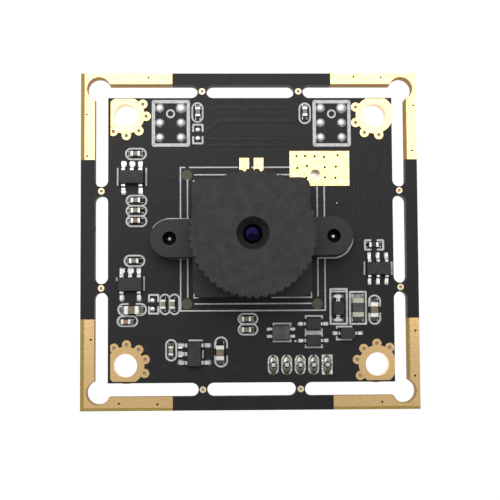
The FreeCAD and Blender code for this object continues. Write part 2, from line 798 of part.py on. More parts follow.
def make_mounting_pads(via_drills):
    """A plated hole with a lobed pad on top and a round one below, at each corner."""
    copper = (TOP, COPPER_TOP)
    below = ("-dim.copper_thickness", "0")
    discs = []
    barrels = []
    drills = [via_drills]
    for corner in CORNERS:
        x, y = mounting_place(corner)
        right, up = CORNERS[corner]
        discs.append(rod(f"pad_disc_{corner}", "dim.mounting_pad_radius", copper, x, y))
        discs.append(rod(f"pad_corner_{corner}", "dim.pad_corner_radius", copper,
                         f"{x} + {right} * dim.pad_corner_shift", f"{y} + {up} * dim.pad_corner_shift"))
        for count, (lobe_x, lobe_y) in enumerate(lobe_places(corner)):
            discs.append(rod(f"pad_lobe_{corner}_{count}", "dim.lobe_radius", copper, lobe_x, lobe_y))
        barrels.append(rod(f"pad_barrel_{corner}", PLATED_HOLE_RADIUS, ("0", TOP), x, y))
        barrels.append(rod(f"pad_under_{corner}", "dim.mounting_pad_radius", below, x, y))
        drills.append(rod(f"pad_drill_{corner}", "dim.mounting_hole_radius", THROUGH, x, y))
    keep_in = []
    for shift in ("dim.artwork_shift_x", "dim.artwork_shift_y"):
        low = f"max({shift} - dim.pad_keep_in_side / 2; -{SLOT_INNER})"
        high = f"min({shift} + dim.pad_keep_in_side / 2; {SLOT_INNER})"
        keep_in.append((low, high))
    kept = common("pads_on_board", fuse("pad_discs", discs), block("pad_keep_in", *keep_in, THROUGH))
    pads = fuse("pads_whole", [kept] + barrels)
    add_node("mounting_hole_pads", cut("pads_drilled", pads, group("pad_tools", drills)))


def make_small_copper(via_drills):
    """Ground pad beside the holder, the two contact pads and the bridges' plated holes."""
    copper = (TOP, COPPER_TOP)
    plate = block("shield_plate",
                  tuple(f"dim.shield_pad_{end}_x + dim.artwork_shift_x" for end in ("low", "high")),
                  tuple(f"dim.shield_pad_{end}_y + dim.artwork_shift_y" for end in ("low", "high")),
                  copper)
    hole = ("dim.shield_hole_x", "dim.shield_hole_y")
    barrel = rod("shield_barrel", SHIELD_BARREL_RADIUS, ("0", TOP), *hole)
    bore = rod("shield_bore", "dim.shield_hole_radius", THROUGH, *hole)
    tools = group("shield_tools", [bore, via_drills])
    add_node("shield_ground_pad", cut("shield_drilled", fuse("shield_whole", [plate, barrel]), tools))

    for side in ("left", "right"):
        pad_box = block(f"contact_pad_{side}", span("dim.contact_pad_wide", f"dim.contact_{side}_x"),
                        span("dim.contact_pad_tall", f"dim.contact_{side}_y"), copper)
        add_member("contact_pads", pad_box)

    below = ("-dim.copper_thickness", "0")
    eyelet = fuse("bridge_eyelet", [
        rod("bridge_ring_above", "dim.bridge_ring_radius", copper),
        rod("bridge_ring_below", "dim.bridge_ring_radius", below),
        rod("bridge_barrel", BRIDGE_BARREL_RADIUS, ("0", TOP)),
    ])
    eyelet = cut("bridge_eyelet_open", eyelet, rod("bridge_bore", "dim.bridge_hole_radius", VIA_DEPTH))
    eyelets = [copy_of(f"bridge_eyelet_{count}", eyelet, x, y) for count, (x, y) in enumerate(bridge_places())]
    add_node("bridge_vias", group("bridge_eyelets", eyelets))


# Lens holder, its screws and what it covers

def make_lens_holder():
    """Square base with two ears, a round boss, the lens bore, the filter's shelf and the cavity."""
    body = doc.addObject("PartDesign::Body", "holder_body")
    base = sketch_on(body, "holder_base", "XY_Plane", COPPER_TOP)
    draw_rectangle(base, "dim.holder_base_side", "dim.holder_base_side")
    base_pad = pad(body, base, "dim.holder_base_height")
    corners = [f"Edge{count}" for count, edge in enumerate(base_pad.Shape.Edges, start=1)
               if edge.BoundBox.ZLength > value("dim.holder_base_height / 2")]
    rounding = body.newObject("PartDesign::Fillet", "holder_corners")
    rounding.Base = (base_pad, corners)
    rounding.setExpression("Radius", "dim.holder_corner_radius")
    doc.recompute()

    bar = sketch_on(body, "holder_bar", "XY_Plane", COPPER_TOP)
    draw_rectangle(bar, "dim.holder_screw_pitch", "2 * dim.holder_ear_radius")
    pad(body, bar, "dim.holder_base_height")
    for side, sign in (("left", -1), ("right", 1)):
        ear = sketch_on(body, f"holder_ear_{side}", "XY_Plane", COPPER_TOP)
        draw_circle(ear, "dim.holder_ear_radius", f"{sign} * dim.holder_screw_pitch / 2")
        pad(body, ear, "dim.holder_base_height")
    boss = sketch_on(body, "holder_boss", "XY_Plane", BASE_TOP)
    draw_circle(boss, "dim.holder_boss_radius")
    pad(body, boss, "dim.holder_boss_height")

    bore = sketch_on(body, "holder_bore", "XY_Plane", BOSS_TOP)
    draw_circle(bore, HOLDER_BORE_RADIUS)
    pocket(body, bore, f"{BOSS_TOP} - {SHELF_TOP}")
    window = sketch_on(body, "holder_window", "XY_Plane", SHELF_TOP)
    draw_rectangle(window, *["dim.filter_side - 2 * dim.filter_ledge"] * 2)
    pocket(body, window, "dim.filter_shelf_thickness")
    cavity = sketch_on(body, "holder_cavity", "XY_Plane", CAVITY_TOP)
    draw_rectangle(cavity, *["dim.sensor_side + 2 * dim.sensor_margin"] * 2)
    pocket(body, cavity, "dim.sensor_cavity_height")
    pilots = sketch_on(body, "holder_pilots", "XY_Plane", BASE_TOP)
    for sign in (-1, 1):
        draw_circle(pilots, "dim.screw_radius + dim.screw_clearance", f"{sign} * dim.holder_screw_pitch / 2")
    pocket(body, pilots, "dim.holder_base_height")
    add_node("lens_holder", seat(body, turn="dim.holder_turn"))


def make_holder_screws():
    """Two self-tapping screws that come up through the board into the holder's ears."""
    tip = f"({BASE_TOP} - dim.screw_tip_recess)"
    point = f"({tip} - dim.screw_point_height)"
    head = ("-dim.screw_head_height", "0")
    whole = fuse("screw_whole", [
        rod("screw_head", "dim.screw_head_radius", head),
        rod("screw_shank", "dim.screw_radius", ("0", point)),
        cone("screw_point", "dim.screw_radius", "dim.screw_point_radius", (point, tip)),
    ])
    recess_z = ("-dim.screw_head_height", "dim.screw_recess_depth - dim.screw_head_height")
    recess = fuse("screw_recess", [
        block("screw_recess_across", span("dim.screw_recess_long"), span("dim.screw_recess_wide"), recess_z),
        block("screw_recess_up", span("dim.screw_recess_wide"), span("dim.screw_recess_long"), recess_z),
    ])
    screw = cut("screw", whole, recess)
    pair = [copy_of("screw_left", screw, "-dim.holder_screw_pitch / 2"),
            copy_of("screw_right", screw, "dim.holder_screw_pitch / 2")]
    add_node("holder_screws", seat(group("screw_pair", pair), turn="dim.holder_turn"))


def make_sensor():
    """Infrared filter on its shelf, and the sensor: package, die and cover glass."""
    filter_plan = span("dim.filter_side")
    add_node("ir_filter", seat(group("filter_plate", [
        block("filter_glass", filter_plan, filter_plan, (SHELF_TOP, FILTER_TOP)),
    ]), turn="dim.holder_turn"))

    floor = f"({TOP} + dim.sensor_floor)"
    lip = f"({TOP} + dim.sensor_height - dim.sensor_glass_thickness)"
    rim = f"({TOP} + dim.sensor_height)"
    plan = span("dim.sensor_side")
    rebate = span("dim.sensor_glass_side + 2 * dim.sensor_glass_clearance")
    well = span("dim.sensor_glass_side - 2 * dim.sensor_glass_ledge")
    hollow = fuse("sensor_hollow", [
        block("sensor_rebate", rebate, rebate, (lip, rim)),
        block("sensor_well", well, well, (floor, rim)),
    ])
    add_node("sensor_package", cut("sensor_tray", block("sensor_blank", plan, plan, (TOP, rim)), hollow))
    glass = span("dim.sensor_glass_side")
    add_node("sensor_cover_glass", block("sensor_glass", glass, glass, (lip, rim)))
    die_z = (floor, f"{floor} + dim.sensor_die_thickness")
    add_node("sensor_die", block("die", span("dim.sensor_die_long"), span("dim.sensor_die_wide"), die_z))


# The lens that is turned to focus

def make_lens_barrel():
    """Threaded body, knurled head with a conical recess, and the stepped bore for the glass."""
    body = doc.addObject("PartDesign::Body", "barrel_body")
    profile = sketch_on(body, "barrel_profile", "XZ_Plane")
    shoulder = f"({REAR_LENS_TOP} + dim.stack_clearance)"
    draw_outline(profile, [
        (REAR_BORE_RADIUS, BARREL_BOTTOM),
        ("dim.thread_radius", BARREL_BOTTOM),
        ("dim.thread_radius", HEAD_BOTTOM),
        ("dim.head_radius", HEAD_BOTTOM),
        ("dim.head_radius", f"{HEAD_TOP} - dim.head_chamfer"),
        ("dim.head_radius - dim.head_chamfer", HEAD_TOP),
        ("dim.recess_radius", HEAD_TOP),
        ("dim.aperture_radius", APERTURE_TOP),
        ("dim.aperture_radius", APERTURE_BOTTOM),
        (FRONT_BORE_RADIUS, APERTURE_BOTTOM),
        (FRONT_BORE_RADIUS, shoulder),
        (REAR_BORE_RADIUS, shoulder),
    ])
    turned = body.newObject("PartDesign::Revolution", "barrel_turned")
    turned.Profile = profile
    turned.ReferenceAxis = (profile, ["V_Axis"])
    turned.Angle = 360
    doc.recompute()

    notch = sketch_on(body, "knurl_notch", "XY_Plane", HEAD_TOP)
    beyond = "dim.head_radius + dim.knurl_depth"
    draw_outline(notch, [
        ("dim.head_radius - dim.knurl_depth", "0"),
        (beyond, "-dim.knurl_width"),
        (beyond, "dim.knurl_width"),
    ])
    groove = pocket(body, notch, "dim.head_height")
    before = body.Shape.Volume
    knurl = body.newObject("PartDesign::PolarPattern", "knurl")
    knurl.Originals = [groove]
    knurl.Axis = (notch, ["N_Axis"])
    knurl.Angle = 360
    knurl.setExpression("Occurrences", "dim.knurl_count")
    body.Tip = knurl
    doc.recompute()
    if body.Shape.Volume >= before:
        raise ValueError("the knurl cuts nothing")
    add_node("lens_barrel", body)


def make_lens_stack():
    """Retaining ring, rear lens, spacer and front lens, from the bottom up."""
    ring_z = (RING_BOTTOM, RING_TOP)
    ring_bore = "dim.rear_lens_radius - dim.ring_wall"
    slot_z = (RING_BOTTOM, f"{RING_BOTTOM} + dim.ring_slot_depth")
    ring_tools = fuse("ring_tools", [
        rod("ring_bore", ring_bore, ring_z),
        block("ring_slot", span("2 * dim.rear_lens_radius"), span("dim.ring_slot_width"), slot_z),
    ])
    ring = rod("ring_blank", "dim.rear_lens_radius", ring_z)
    add_node("lens_retaining_ring", cut("ring", ring, ring_tools))

    back = dome("rear_lens_dome", *[f"{ring_bore} - dim.glass_clearance"] * 2, "dim.rear_dome_height")
    back.Placement.Rotation = FreeCAD.Rotation(FreeCAD.Vector(1, 0, 0), 180)
    back.setExpression("Placement.Base.z", RING_TOP)
    rear = rod("rear_lens_disc", "dim.rear_lens_radius", (RING_TOP, REAR_LENS_TOP))
    add_node("rear_lens", fuse("rear_lens_whole", [rear, back]))

    spacer_z = (REAR_LENS_TOP, SPACER_TOP)
    spacer = rod("spacer_blank", "dim.front_lens_radius", spacer_z)
    spacer_bore = rod("spacer_bore", "dim.front_lens_radius - dim.spacer_wall", spacer_z)
    add_node("lens_spacer", cut("spacer", spacer, spacer_bore))

    front = rod("front_lens_disc", "dim.front_lens_radius", (SPACER_TOP, FRONT_LENS_TOP))
    bulge = dome("front_lens_dome", *["dim.front_dome_radius"] * 2, "dim.front_dome_height", z=FRONT_LENS_TOP)
    add_node("front_lens", fuse("front_lens_whole", [front, bulge]))


# Parts soldered to the board; each is drawn once on the Z axis and standing on the plane z = 0

def make_cap_joint(kind, frame, inner, half):
    """Solder under an end cap, with a slope that climbs the cap's end face."""
    pad_wide, pad_end = f"dim.{frame}_pad_wide", f"dim.{frame}_pad_end"
    film = block(f"{kind}_joint_film", span(pad_wide), (inner, pad_end), ("0", "dim.solder_film"))
    slope = ramp(f"{kind}_joint_slope", span(pad_wide), span(f"0.8 * {pad_wide}"),
                 (half, pad_end), ("0", f"dim.{frame}_fillet"), ("0", "dim.solder_film"))
    return fuse(f"{kind}_joint", [film, slope])


def make_lead_joint(kind, lead):
    """Solder under a lead's foot, heaped round it into a low mound with sloping sides."""
    heel = f"(dim.{kind}_knee + dim.{kind}_lead_slope)"
    pad_wide, pad_end = f"dim.{kind}_pad_wide", f"dim.{kind}_pad_end"
    mound_long = f"({pad_end} - {heel})"
    mound_top = f"(dim.solder_film + dim.mound_height_share * dim.{kind}_lead_thick)"
    mound = frustum(f"{kind}_joint_mound", pad_wide, mound_long, f"dim.mound_top_share * {pad_wide}",
                    f"dim.mound_top_share * {mound_long}", ("0", mound_top))
    film = block(f"{kind}_joint_film", span(f"dim.{kind}_lead_wide"),
                 (f"{heel} - dim.{kind}_lead_thick", pad_end), ("0", "dim.solder_film"))
    placed = copy_of(f"{kind}_joint_placed", mound, y=f"({heel} + {pad_end}) / 2")
    return cut(f"{kind}_joint", fuse(f"{kind}_joint_whole", [film, placed]), lead)


def at_both_ends(name, thing):
    """A thing and its copy, half a turn round."""
    return group(name, [thing, copy_of(f"{name}_far", thing, turn=180)])


def make_chip(kind, frame, tall):
    """Ceramic block between two end caps on solder; returns body, caps and joints."""
    half = f"dim.{frame}_long / 2"
    inner = f"({half} - dim.{frame}_cap)"
    top = f"(dim.solder_film + {tall})"
    wide = f"dim.{frame}_wide"
    body = block(f"{kind}_body", span(f"{wide} - 2 * dim.cap_step"), (f"-{inner}", inner),
                 ("dim.solder_film + dim.cap_step", f"{top} - dim.cap_step"))
    cap = block(f"{kind}_cap", span(wide), (inner, half), ("dim.solder_film", top))
    joint = make_cap_joint(kind, frame, inner, half)
    return body, at_both_ends(f"{kind}_caps", cap), at_both_ends(f"{kind}_joints", joint)


def make_leaded(kind, upper, lower):
    """Moulded package; upper and lower list its leads in steps of the pitch from the middle.

    Returns the body, the leads and the solder joints.
    """
    row, depth, draft = f"dim.{kind}_row", f"dim.{kind}_depth", f"dim.{kind}_draft"
    low = f"(dim.solder_film + dim.{kind}_standoff)"
    top = f"(dim.solder_film + dim.{kind}_height)"
    exit_z = f"(dim.solder_film + dim.{kind}_lead_exit)"
    small_row, small_depth = f"{row} - 2 * {draft}", f"{depth} - 2 * {draft}"
    body = fuse(f"{kind}_body", [
        frustum(f"{kind}_body_low", small_row, small_depth, row, depth, (low, exit_z)),
        frustum(f"{kind}_body_high", row, depth, small_row, small_depth, (exit_z, top)),
    ])

    thick = f"dim.{kind}_lead_thick"
    wide = span(f"dim.{kind}_lead_wide")
    knee, toe = f"dim.{kind}_knee", f"dim.{kind}_toe"
    heel = f"({knee} + dim.{kind}_lead_slope)"
    bottom = "dim.solder_film"
    lead_top = exit_z
    shoulder_z = (f"{exit_z} - {thick}", lead_top)
    root = f"({depth} / 2 - {draft} * {thick} / ({exit_z} - {low}))"
    shoulder = block(f"{kind}_lead_shoulder", wide, (root, knee), shoulder_z)
    leg = leaning_block(f"{kind}_lead_leg", (wide, (f"{heel} - {thick}", heel)),
                        (wide, (f"{knee} - {thick}", knee)), (bottom, lead_top))
    foot = block(f"{kind}_lead_foot", wide, (f"{heel} - {thick}", toe), (bottom, f"{bottom} + {thick}"))
    lead = cut(f"{kind}_lead", fuse(f"{kind}_lead_whole", [shoulder, leg, foot]), body)
    joint = make_lead_joint(kind, lead)

    leads = []
    joints = []
    for side, steps, turn in (("upper", upper, 0), ("lower", lower, 180)):
        for count, step in enumerate(steps):
            x = f"{step} * dim.{kind}_pitch" if step else "0"
            leads.append(copy_of(f"{kind}_lead_{side}_{count}", lead, x, turn=turn))
            joints.append(copy_of(f"{kind}_joint_{side}_{count}", joint, x, turn=turn))
    return body, group(f"{kind}_leads", leads), group(f"{kind}_joints", joints)


def solder_on(place, turn, parts):
    """Put the pieces of one component at its place; parts maps a node to a piece."""
    for label, thing in parts.items():
        x, y = f"dim.{place}_x", f"dim.{place}_y"
        add_member(label, copy_of(f"{place}_{thing.Name}", thing, x, y, TOP, turn))


def make_chips():
    """Capacitors, the resistor and the ferrite bead."""
    body, caps, joints = make_chip("small_chip", "chip_0402", "dim.chip_0402_tall")
    grey = {"capacitors_0402": body, "end_caps_0402": caps, "solder_joints": joints}
    brown = {"brown_capacitors_0402": body, "end_caps_0402": caps, "solder_joints": joints}
    for place in ("left_high", "stack_high", "stack_middle", "left_middle", "below_high", "below_low"):
        solder_on(f"capacitor_{place}", LYING, grey)
    for place in ("stack_low", "left_low"):
        solder_on(f"capacitor_{place}", LYING, brown)
    for place in ("top_left", "top_right", "pair_left", "pair_right", "bottom_left"):
        solder_on(f"capacitor_{place}", UPRIGHT, grey)
    for place in ("one", "two", "three", "four"):
        for label, thing in (("rear_capacitors", body), ("rear_capacitor_ends", caps),
                             ("rear_solder_joints", joints)):
            name = f"capacitor_back_{place}"
            add_member(label, hung_below(f"{name}_{thing.Name}", thing, name))

    body, caps, joints = make_chip("flat_chip", "chip_0402", "dim.resistor_tall")
    solder_on("resistor_right", LYING, {"resistor_0402": body, "end_caps_0402": caps, "solder_joints": joints})

    body, caps, joints = make_chip("large_chip", "chip_0603", "dim.chip_0603_tall")
    tan = {"capacitors_0603": body, "end_caps_0603": caps, "solder_joints": joints}
    solder_on("tan_capacitor_left", LYING, tan)
    solder_on("tan_capacitor_bottom", UPRIGHT, tan)
    solder_on("tan_capacitor_right", UPRIGHT, tan)

    body, caps, joints = make_chip("bead", "bead", "dim.bead_tall")
    bead = {"ferrite_bead": body, "ferrite_bead_ends": caps, "solder_joints": joints}
    solder_on("bead_right", UPRIGHT, bead)


def make_leaded_parts():
    """Diodes, regulators, the six-lead and the four-lead chip."""
    body, leads, joints = make_leaded("diode", (0,), (0,))
    diode = {"diode_bodies": body, "diode_leads": leads, "solder_joints": joints}
    for place in ("diode_left_high", "diode_left_low", "diode_right"):
        solder_on(place, LYING, diode)

    body, leads, joints = make_leaded("wide_diode", (0,), (0,))
    diode = {"diode_bodies": body, "diode_leads": leads, "solder_joints": joints}
    solder_on("diode_upright", UPRIGHT, diode)

    body, leads, joints = make_leaded("five_lead", (-1, 0, 1), (-1, 1))
    regulator = {"regulator_bodies": body, "regulator_leads": leads, "solder_joints": joints}
    solder_on("regulator_left_high", UPRIGHT, regulator)
    solder_on("regulator_left_low", UPRIGHT, regulator)
    solder_on("regulator_bottom", LYING, regulator)

    body, leads, joints = make_leaded("six_lead", (-1, 0, 1), (-1, 0, 1))
    chip = {"six_lead_chip": body, "six_lead_chip_leads": leads, "solder_joints": joints}
    solder_on("six_lead_right", UPRIGHT, chip)

    body, leads, joints = make_leaded("four_lead", (-0.5, 0.5), (-0.5, 0.5))
    chip = {"four_lead_chip": body, "four_lead_chip_leads": leads, "solder_joints": joints}
    solder_on("four_lead_bottom", LYING, chip)


def make_bare_solder():
    """Solder on the footprints that were left empty: two microphones and two chips."""
    bump = dome("microphone_bump", *["dim.bump_radius"] * 2, "dim.bump_height")
    large_bump = dome("microphone_bump_large", *["dim.large_bump_radius"] * 2, "dim.bump_height")
    for side in ("left", "right"):
        for column in (-1, 1):
            for row in (-1, 0, 1):
                x = f"dim.microphone_{side}_x + {column} * dim.microphone_column_pitch / 2"
                y = f"dim.microphone_{side}_y + {row} * dim.microphone_row_pitch"
                name = f"microphone_bump_{side}_{column + 1}_{row + 1}"
                solder = large_bump if column == row == 1 else bump
                add_member("microphone_pad_bumps", copy_of(name, solder, x, y, TOP))

    flat = dome("bare_pad", "dim.bare_pad_wide / 2", "dim.bare_pad_long / 2", "2 * dim.solder_film")
    for place in ("empty_top_left", "empty_left_low"):
        for end in (-1, 1):
            x, y = f"dim.{place}_x", f"dim.{place}_y + {end} * dim.bare_pad_pitch / 2"
            add_member("bare_solder_pads", copy_of(f"{place}_pad_{end + 1}", flat, x, y, TOP))


# Connector on the back, soldered on the front

def make_pin_joint(name, x, y, pin, square):
    """Solder on its foot, drawn up round a pin; one pin's foot is square, the others' round-ended."""
    foot_z = (TOP, f"{TOP} + dim.pin_joint_foot")
    across = span("dim.pin_joint_wide", x)
    if square:
        foot = [block(f"{name}_foot", across, span("dim.pin_joint_long", y), foot_z)]
    else:
        straight = span("dim.pin_joint_long - dim.pin_joint_wide", y)
        foot = [block(f"{name}_foot", across, straight, foot_z)]
        for end, end_y in zip(("low", "high"), straight):
            foot.append(rod(f"{name}_foot_{end}", "dim.pin_joint_wide / 2", foot_z, x, end_y))
    mound = dome(f"{name}_mound", "dim.pin_joint_wide / 2 - dim.pin_joint_slope",
                 "dim.pin_joint_long / 2 - dim.pin_joint_slope", "dim.pin_joint_height", x, y, TOP)
    collar = cone(f"{name}_collar", "dim.pin_cone_radius", "dim.pin_cone_top_radius",
                  (TOP, f"{TOP} + dim.pin_cone_height"), x, y)
    return cut(name, fuse(f"{name}_whole", foot + [mound, collar]), pin)


def make_connector():
    """Housing open to the back, square pins through the board, and a solder joint round each."""
    tip = f"({TOP} + dim.pin_tip_height)"
    pin_end = "(dim.pin_end_setback - dim.housing_height)"
    places = list(pin_places())
    pins = []
    for count, (x, y) in enumerate(places):
        pins.append(block(f"pin_{count}", span("dim.pin_side", x), span("dim.pin_side", y), (pin_end, tip)))
        joint = make_pin_joint(f"pin_joint_{count}", x, y, pins[-1], square=count == len(places) - 1)
        add_member("connector_solder_joints", joint)
        add_member("connector_pins", pins[-1])

    x_middle, y_middle = "dim.connector_x", "dim.connector_y"
    outer = block("housing_blank", span(HOUSING_LONG, x_middle), span("dim.housing_wide", y_middle),
                  ("-dim.housing_height", "0"))
    hollow_z = ("-dim.housing_height", "-dim.housing_floor")
    hollow = block("housing_hollow", span(f"{HOUSING_LONG} - 2 * dim.housing_wall", x_middle),
                   span("dim.housing_wide - 2 * dim.housing_wall", y_middle), hollow_z)
    tools = [hollow]
    for side in (-1, 1):
        key_x = f"{x_middle} + {side} * dim.housing_key_pitch / 2"
        key_y = (f"{y_middle} - dim.housing_wide / 2", y_middle)
        tools.append(block(f"housing_key_{side + 1}", span("dim.housing_key_wide", key_x), key_y, hollow_z))
    opened = cut("housing_opened", outer, fuse("housing_tools", tools))
    add_member("connector_housing", cut("housing", opened, group("housing_pins", list(pins))))


# Chips on the back

def make_back_chips():
    """Controller, memory chip and crystal, drawn standing and then turned over."""
    side = span("dim.controller_side")
    base = "dim.solder_film"
    top = f"({base} + dim.controller_height)"
    corner = ("dim.controller_side / 2 - dim.controller_corner_mark", "dim.controller_side / 2")
    controller = cut("controller_body", block("controller_blank", side, side, (base, top)),
                     block("controller_mark", corner, corner, (f"{top} - {base}", top)))
    film_side = span("dim.controller_side - 2 * dim.controller_corner_mark")
    film = block("controller_film", film_side, film_side, ("0", base))
    add_member("controller_chip", hung_below("controller_hung", controller, "controller"))
    add_member("rear_solder_joints", hung_below("controller_film_hung", film, "controller"))

    steps = (-1.5, -0.5, 0.5, 1.5)
    body, leads, joints = make_leaded("flash", steps, steps)
    for label, thing in (("flash_chip", body), ("flash_chip_leads", leads), ("rear_solder_joints", joints)):
        add_member(label, hung_below(f"{thing.Name}_hung", thing, "flash_memory"))

    lid_top = "(dim.solder_film + dim.crystal_base + dim.crystal_lid)"
    crystal = fuse("crystal_whole", [
        block("crystal_base", span("dim.crystal_long"), span("dim.crystal_wide"),
              ("0", "dim.solder_film + dim.crystal_base")),
        block("crystal_lid", span("dim.crystal_long - 2 * dim.crystal_lid_step"),
              span("dim.crystal_wide - 2 * dim.crystal_lid_step"),
              ("dim.solder_film + dim.crystal_base", lid_top)),
    ])
    add_member("crystal", hung_below("crystal_hung", crystal, "crystal_back"))


# Building, checking and writing

def check(thing):
    """Stop when an object failed or its shape is missing or broken."""
    if "Invalid" in thing.State or "Error" in thing.State:
        raise ValueError(f"{thing.Label} failed: {thing.State}")
    shape = getattr(thing, "Shape", None)
    if thing.Label in nodes and (shape is None or shape.isNull() or not shape.isValid()):
        raise ValueError(f"{thing.Label} has no valid shape")


def main():
    """Make every piece, check it and write one file for each node."""
    openings = make_openings()
    via_drills = make_via_drills()
    make_board(openings, via_drills)
    make_ground_strips(openings, via_drills)
    make_mounting_pads(via_drills)
    make_small_copper(via_drills)
    make_lens_holder()
    make_holder_screws()
    make_sensor()
    make_lens_barrel()
    make_lens_stack()
    make_chips()
    make_leaded_parts()
    make_bare_solder()
    make_connector()
    make_back_chips()
    close_nodes()
    doc.recompute()
    for thing in doc.Objects:
        check(thing)
    os.makedirs("parts", exist_ok=True)
    for label, thing in nodes.items():
        thing.Shape.exportStep(os.path.join("parts", f"{label}.step"))
        print(label, len(thing.Shape.Solids), "solids,", round(thing.Shape.Volume, 3), "mm3")


main()
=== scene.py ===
# %% [markdown]
# # A camera module, seen from its lens side
#
# The real object is a small black circuit board with a lens on it, still held in the frame from
# which it will be broken out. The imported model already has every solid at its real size. This
# lesson gives each solid its finish, adds what is too thin to be a solid of its own, such as the
# white print and the copper under the black mask, and sets up the camera and the light.

import json
import math

import bmesh
import bpy
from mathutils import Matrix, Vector


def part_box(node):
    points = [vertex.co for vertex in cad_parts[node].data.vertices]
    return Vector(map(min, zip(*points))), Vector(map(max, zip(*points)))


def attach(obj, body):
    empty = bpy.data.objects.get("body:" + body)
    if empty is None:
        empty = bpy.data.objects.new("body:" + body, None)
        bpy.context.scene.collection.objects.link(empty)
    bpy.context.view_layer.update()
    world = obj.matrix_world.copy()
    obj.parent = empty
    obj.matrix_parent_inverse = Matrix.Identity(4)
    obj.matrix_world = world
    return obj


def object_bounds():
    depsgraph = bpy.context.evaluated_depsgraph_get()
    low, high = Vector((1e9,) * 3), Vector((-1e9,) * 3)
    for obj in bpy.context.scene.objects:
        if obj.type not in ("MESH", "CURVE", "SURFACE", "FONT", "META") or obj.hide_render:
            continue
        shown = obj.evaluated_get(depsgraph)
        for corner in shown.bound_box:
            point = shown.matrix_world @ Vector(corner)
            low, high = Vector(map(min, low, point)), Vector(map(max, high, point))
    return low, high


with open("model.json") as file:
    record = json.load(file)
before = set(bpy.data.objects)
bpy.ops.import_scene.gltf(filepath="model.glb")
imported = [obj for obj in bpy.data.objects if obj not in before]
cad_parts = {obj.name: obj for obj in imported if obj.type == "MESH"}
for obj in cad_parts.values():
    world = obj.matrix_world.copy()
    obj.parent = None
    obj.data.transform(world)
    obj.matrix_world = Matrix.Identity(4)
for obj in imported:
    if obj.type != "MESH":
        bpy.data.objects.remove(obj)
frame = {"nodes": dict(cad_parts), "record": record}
cad_box = [list(corner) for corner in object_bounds()]
MM = 0.001

# %% [markdown]
# ## Camera
#
# The photograph looks nearly straight down, from a little below the middle of the board and a
# little to its left. It could be matched by eye, but a board of known size allows better: the
# numbers come from fitting the four mounting holes and the tall lens head to the photograph. The
# long lens keeps the square board almost square.

# %% Camera
CAMERA_PLACE = (-3.5, -9.94, 132.92)
CAMERA_TILT = (3.807, -1.451, -0.337)
CAMERA_LENS = 84.83
SENSOR_WIDTH = 36.0
NEAREST_SEEN = 5.0

camera_data = bpy.data.cameras.new("camera")
camera_data.lens = CAMERA_LENS
camera_data.sensor_width = SENSOR_WIDTH
camera_data.clip_start = NEAREST_SEEN * MM
camera = bpy.data.objects.new("camera", camera_data)
camera.location = Vector(CAMERA_PLACE) * MM
camera.rotation_euler = [math.radians(angle) for angle in CAMERA_TILT]
bpy.context.scene.collection.objects.link(camera)
bpy.context.scene.camera = camera
bpy.context.scene.view_settings.view_transform = "Standard"
print("camera is", round(camera.location.z / MM), "mm above the board")

# %% [markdown]
# ## Node sheets written as sums
#
# A finish is worked out by nodes, and most of those nodes only add, multiply or mix. Drawing them
# by hand hides the sum, so a small class wraps one socket of a sheet: adding two wrapped sockets
# adds a Math node and wraps its result. Places on the surface are vectors, so they go through
# Vector Math, and colours go through the Mix node, because a Math node would turn them grey.

# %% A socket that can be calculated with
def calculated(operation, *values):
    """One step of maths on numbers, or on places where one of the values is a place."""
    sheet = next(value.sheet for value in values if isinstance(value, Wire))
    kind = "ShaderNodeMath"
    if any(isinstance(value, Wire) and value.socket.type == "VECTOR" for value in values):
        kind = "ShaderNodeVectorMath"
        values = [(value,) * 3 if isinstance(value, (int, float)) else value for value in values]
    return sheet.node(kind, {"operation": operation}, dict(enumerate(values)))


class Wire:
    """One output socket of a node sheet, with Python's operators."""

    def __init__(self, sheet, socket):
        self.sheet = sheet
        self.socket = socket

    def other(self, name):
        """Another output of the same node."""
        return Wire(self.sheet, self.socket.node.outputs[name])

    def __add__(self, more):
        return calculated("ADD", self, more)

    def __radd__(self, start):
        return calculated("ADD", start, self)

    def __sub__(self, less):
        return calculated("SUBTRACT", self, less)

    def __rsub__(self, start):
        return calculated("SUBTRACT", start, self)

    def __mul__(self, times):
        return calculated("MULTIPLY", self, times)

    def __rmul__(self, start):
        return calculated("MULTIPLY", start, self)

    def __truediv__(self, parts):
        return calculated("DIVIDE", self, parts)

    def __rtruediv__(self, start):
        return calculated("DIVIDE", start, self)


print("a wired socket can be added, subtracted, multiplied and divided")

# %% [markdown]
# A sheet belongs to a material or to the world. One method makes any node of it, from the node's
# type, its settings and its sockets. A finish is a material with an empty sheet, and adds
# shorthands for what nearly every finish needs: where a point is in millimetres, noise of a known
# grain size, a soft threshold, a mix of two colours, and relief.

# %% A sheet and a finish
class Sheet:
    """The nodes of a material or of the world, written in Python."""

    def __init__(self, owner):
        owner.use_nodes = True
        self.tree = owner.node_tree
        self.tree.nodes.clear()

    def node(self, kind, settings=None, inputs=None, output=0):
        """Any node: its settings are set first, then the numbers or links of its sockets."""
        made = self.tree.nodes.new(kind)
        for name, setting in (settings or {}).items():
            setattr(made, name, setting)
        for name, given in (inputs or {}).items():
            if isinstance(given, Wire):
                self.tree.links.new(given.socket, made.inputs[name])
            else:
                made.inputs[name].default_value = given
        return Wire(self, made.outputs[output]) if made.outputs else None


